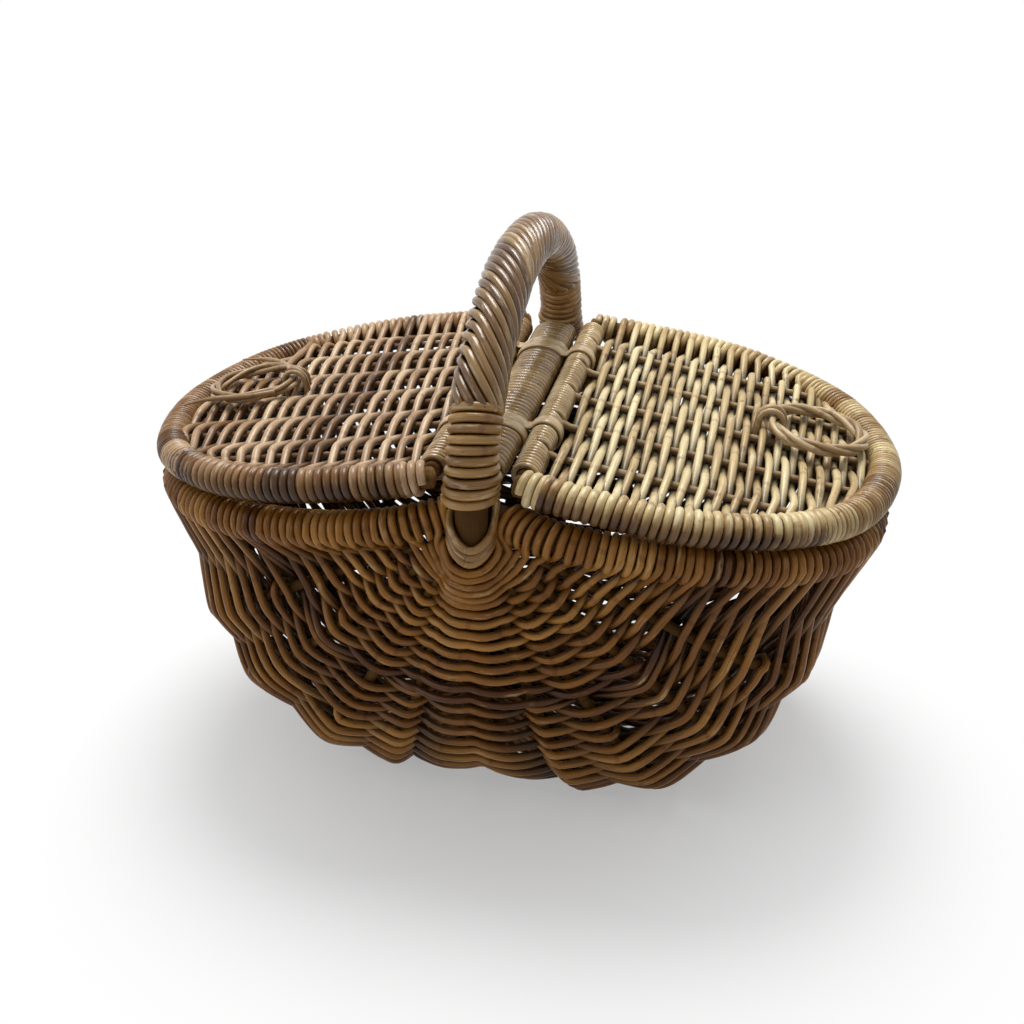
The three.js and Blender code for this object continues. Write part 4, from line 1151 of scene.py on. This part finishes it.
# A hinge band's path round the centre bar and the right lid's bar, drawn in between them
wide, high, bar = CENTRE_WIDTH + 4.1, CENTRE_HEIGHT + 4.1, LID_BAR_RADIUS + 4.2
bend = np.radians(np.linspace(28, 332, 34))
round_centre = np.stack([wide * np.cos(bend), 0 * bend, high * np.sin(bend)], 1)
bend = np.radians(np.linspace(-148, 148, 26))
round_bar = np.stack([LID_BAR_OFFSET + bar * np.cos(bend), 0 * bend, bar * np.sin(bend)], 1)
outward = unit(np.vstack([round_centre / [wide**2, 1, high**2],
                          (round_bar - [LID_BAR_OFFSET, 0, 0]) / bar**2]))
BAND_LOOP = smooth_path(np.hstack([np.vstack([round_centre, round_bar]), outward]), 1.6, closed=True)
for side_name, side in SIDES.items():
    for label in ("near", "far"):
        node = f"hinge_band_{side_name}_{label}"
        low, high = box_mm(node)
        path = BAND_LOOP[:, :3] * [side, 1, 1] + [0, (low[1] + high[1]) / 2, BAR_HEIGHT]
        band = Canes().strap(path, unit(BAND_LOOP[:, 3:] * [side, 1, 1]), 8.6, 1.6, 0.6)
        band.make(node, "cane", "band_cane")


# Lift rings and their eyes
RING_RADII = {"right": 26.5, "left": 26.0}
RING_EYE = 120.06
RING_HEIGHT = 10.6
RING_STRANDS = 3
RING_TAILS = [[(-22, 4, 0.5), (-15, 18, 1.5), (-6, 29, 1.8), (6, 38, 1.5), (18, 43, 1.0), (29, 45, 0.6)],
              [(-20, -21, 0.5), (-6, -28.5, 1.5), (12, -29.5, 1.8), (24, -31, 1.4), (33, -35.5, 0.8)]]
EYE_SIZE = 6.5
EYE_CANES = ((-2.4, 0.0, 0.0), (0.6, 0.9, 1.4), (3.2, 0.1, -1.2))
turn = np.linspace(0, 2 * math.pi, 120, endpoint=False)
for side_name, side in SIDES.items():
    y = FAR_REACH[side_name]
    right_ring = side_name == "right"
    ring_size = RING_RADII[side_name]
    material = f"ring_{side_name}_cane"

    def round_ring(radius, rise):
        path = [RING_EYE + ring_size - radius * np.cos(turn), y + radius * np.sin(turn), RING_HEIGHT + rise]
        return on_lid(np.stack(path, 1), side)

    ring = Canes()
    for k in range(RING_STRANDS):
        twist = turn * (3 if right_ring else 2) + 2 * math.pi * k / RING_STRANDS
        loose = 2.1 if right_ring else 2.1 + (0.5 + 1.2 * np.sin(turn + 2.2 * k)) * (1 - np.cos(turn)) / 2
        placed = round_ring(ring_size + loose * np.cos(twist), 1.8 * np.sin(twist))
        ring.add(placed, 2.0 if right_ring else 1.6, rng.uniform(0.4, 0.9), 0.9, closed=True,
                 hint=placed - round_ring(ring_size, 0 * turn))
    for tail in [] if right_ring else RING_TAILS:
        path = smooth_path([[RING_EYE + ring_size + u, y + v, RING_HEIGHT + w] for u, v, w in tail], 2.0)
        taper = 1.7 * (1 - 0.7 * smoothstep(np.linspace(-1.6, 1, len(path))))
        ring.add(on_lid(path, side), taper, rng.uniform(0.3, 0.7), 0.9)
    ring.make(f"lift_ring_{side_name}", "canes", material, f"ring_{side_name}", "ring_cane")
    eye = Canes()
    for shift, grow, skew in EYE_CANES:
        arc = [[RING_EYE + (EYE_SIZE + grow) * math.cos(a), y + shift + skew * math.cos(a),
                RING_HEIGHT + (6.2 + grow) * math.sin(a)] for a in np.radians(np.arange(180, -1, -20))]
        feet = [[RING_EYE + way * (EYE_SIZE + grow), y + shift + way * skew, -6.0] for way in (-1, 1)]
        path = smooth_path([feet[0], *arc, feet[1]], 2.0)
        eye.add(on_lid(path, side), 1.7 if right_ring else 1.4, rng.uniform(0.4, 0.8), 0.9)
    eye.make(f"lift_eye_{side_name}", "canes", material, f"lid_{side_name}", "ring_cane")


# Floor, light and camera, in metres
FLOOR_RADIUS, FLOOR_DROP = 9.0, 0.0002
FLOOR_COLOUR = (0.86, 0.86, 0.86, 1)
FADE_FROM, FADE_TO, FADE_LEAST = 0.10, 0.42, 0.34
AMBIENT = 0.32
LIGHTS_AIM = Vector((0, 0, 0.15))


def seen_rays(node):
    """One for the rays that carry the background: camera, glossy and transmission rays."""
    path = node("ShaderNodeLightPath")
    value = path.outputs["Is Camera Ray"]
    for label in ("Is Glossy Ray", "Is Transmission Ray"):
        value = node("ShaderNodeMath", {0: value, 1: path.outputs[label]}, operation="MAXIMUM").outputs[0]
    return value


def mixed_output(node, kind, factor, first, second):
    mix = node("ShaderNodeMixShader", {0: factor, 1: first.outputs[0], 2: second.outputs[0]})
    node(kind, {"Surface": mix.outputs[0]})


def floor_material():
    """A pale floor that fades into the white background away from the basket."""
    material = bpy.data.materials.new("pale_floor")
    node = Nodes(material)
    place = node("ShaderNodeNewGeometry").outputs["Position"]
    length = node("ShaderNodeVectorMath", {0: place}, operation="LENGTH").outputs["Value"]
    fade = node("ShaderNodeMapRange", {"From Min": FADE_FROM, "From Max": FADE_TO, "To Min": FADE_LEAST,
                                       "Value": length}, interpolation_type="SMOOTHSTEP").outputs["Result"]
    factor = node("ShaderNodeMath", {0: fade, 1: seen_rays(node)}, operation="MULTIPLY").outputs[0]
    diffuse = node("ShaderNodeBsdfDiffuse", {"Color": FLOOR_COLOUR})
    mixed_output(node, "ShaderNodeOutputMaterial", factor, diffuse, node("ShaderNodeEmission"))
    return material


bpy.ops.mesh.primitive_circle_add(vertices=64, radius=FLOOR_RADIUS, fill_type="NGON",
                                  location=(0, 0, -FLOOR_DROP))
floor = bpy.context.object
floor.name = "floor"
floor.data.materials.append(floor_material())
floor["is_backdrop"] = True

world = bpy.data.worlds.new("studio")
bpy.context.scene.world = world
node = Nodes(world)
plain, white = [node("ShaderNodeBackground", {"Color": (1, 1, 1, 1), "Strength": strength})
                for strength in (AMBIENT, 1.0)]
mixed_output(node, "ShaderNodeOutputWorld", seen_rays(node), plain, white)


def area_light(name, place, size, power):
    data = bpy.data.lights.new(name, "AREA")
    data.shape = "DISK"
    data.size = size
    data.energy = power
    light = new_object(name, data)
    light.location = place
    light.rotation_mode = "QUATERNION"
    light.rotation_quaternion = (LIGHTS_AIM - Vector(place)).to_track_quat("-Z", "Y")


area_light("overhead", (-0.15, 0.55, 1.6), 0.9, 30)
area_light("front_fill", (-1.55, -0.95, 0.9), 1.2, 6.5)

# Camera at the photograph's place: where it stands, then where it looks
CAMERA_AZIMUTH, CAMERA_ELEVATION, CAMERA_DISTANCE = 11.3215, 21.8439, 0.734926
LOOK_YAW, LOOK_PITCH, LOOK_ROLL = 0.5189, 5.5448, 0.3520
FOCAL_PIXELS = 1239.567
SENSOR = 36.0


def facing_back(azimuth, elevation):
    a, e = math.radians(azimuth), math.radians(elevation)
    return Vector((math.sin(a) * math.cos(e), -math.cos(a) * math.cos(e), math.sin(e)))


camera_data = bpy.data.cameras.new("camera")
camera = new_object("camera", camera_data)
bpy.context.scene.camera = camera
camera_data.sensor_width = SENSOR
camera_data.lens = FOCAL_PIXELS * SENSOR / IMAGE_PIXELS
camera_data.clip_start, camera_data.clip_end = 0.01, 50
eye = facing_back(CAMERA_AZIMUTH, CAMERA_ELEVATION) * CAMERA_DISTANCE + Vector((0, 0, BAR_HEIGHT * METRE))
back = facing_back(CAMERA_AZIMUTH + LOOK_YAW, CAMERA_ELEVATION + LOOK_PITCH)
right = (-back).cross(Vector((0, 0, 1))).normalized()
above = right.cross(-back)
roll = math.radians(LOOK_ROLL)
right, above = (right * math.cos(roll) + above * math.sin(roll),
                above * math.cos(roll) - right * math.sin(roll))
camera.matrix_world = Matrix.Translation(eye) @ Matrix((right, above, back)).transposed().to_4x4()

bpy.context.scene.view_settings.view_transform = "Standard"

plain_lists = lambda box: [list(corner) for corner in box]
{"packed": plain_lists(packed_box), "visual": plain_lists(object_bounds())}
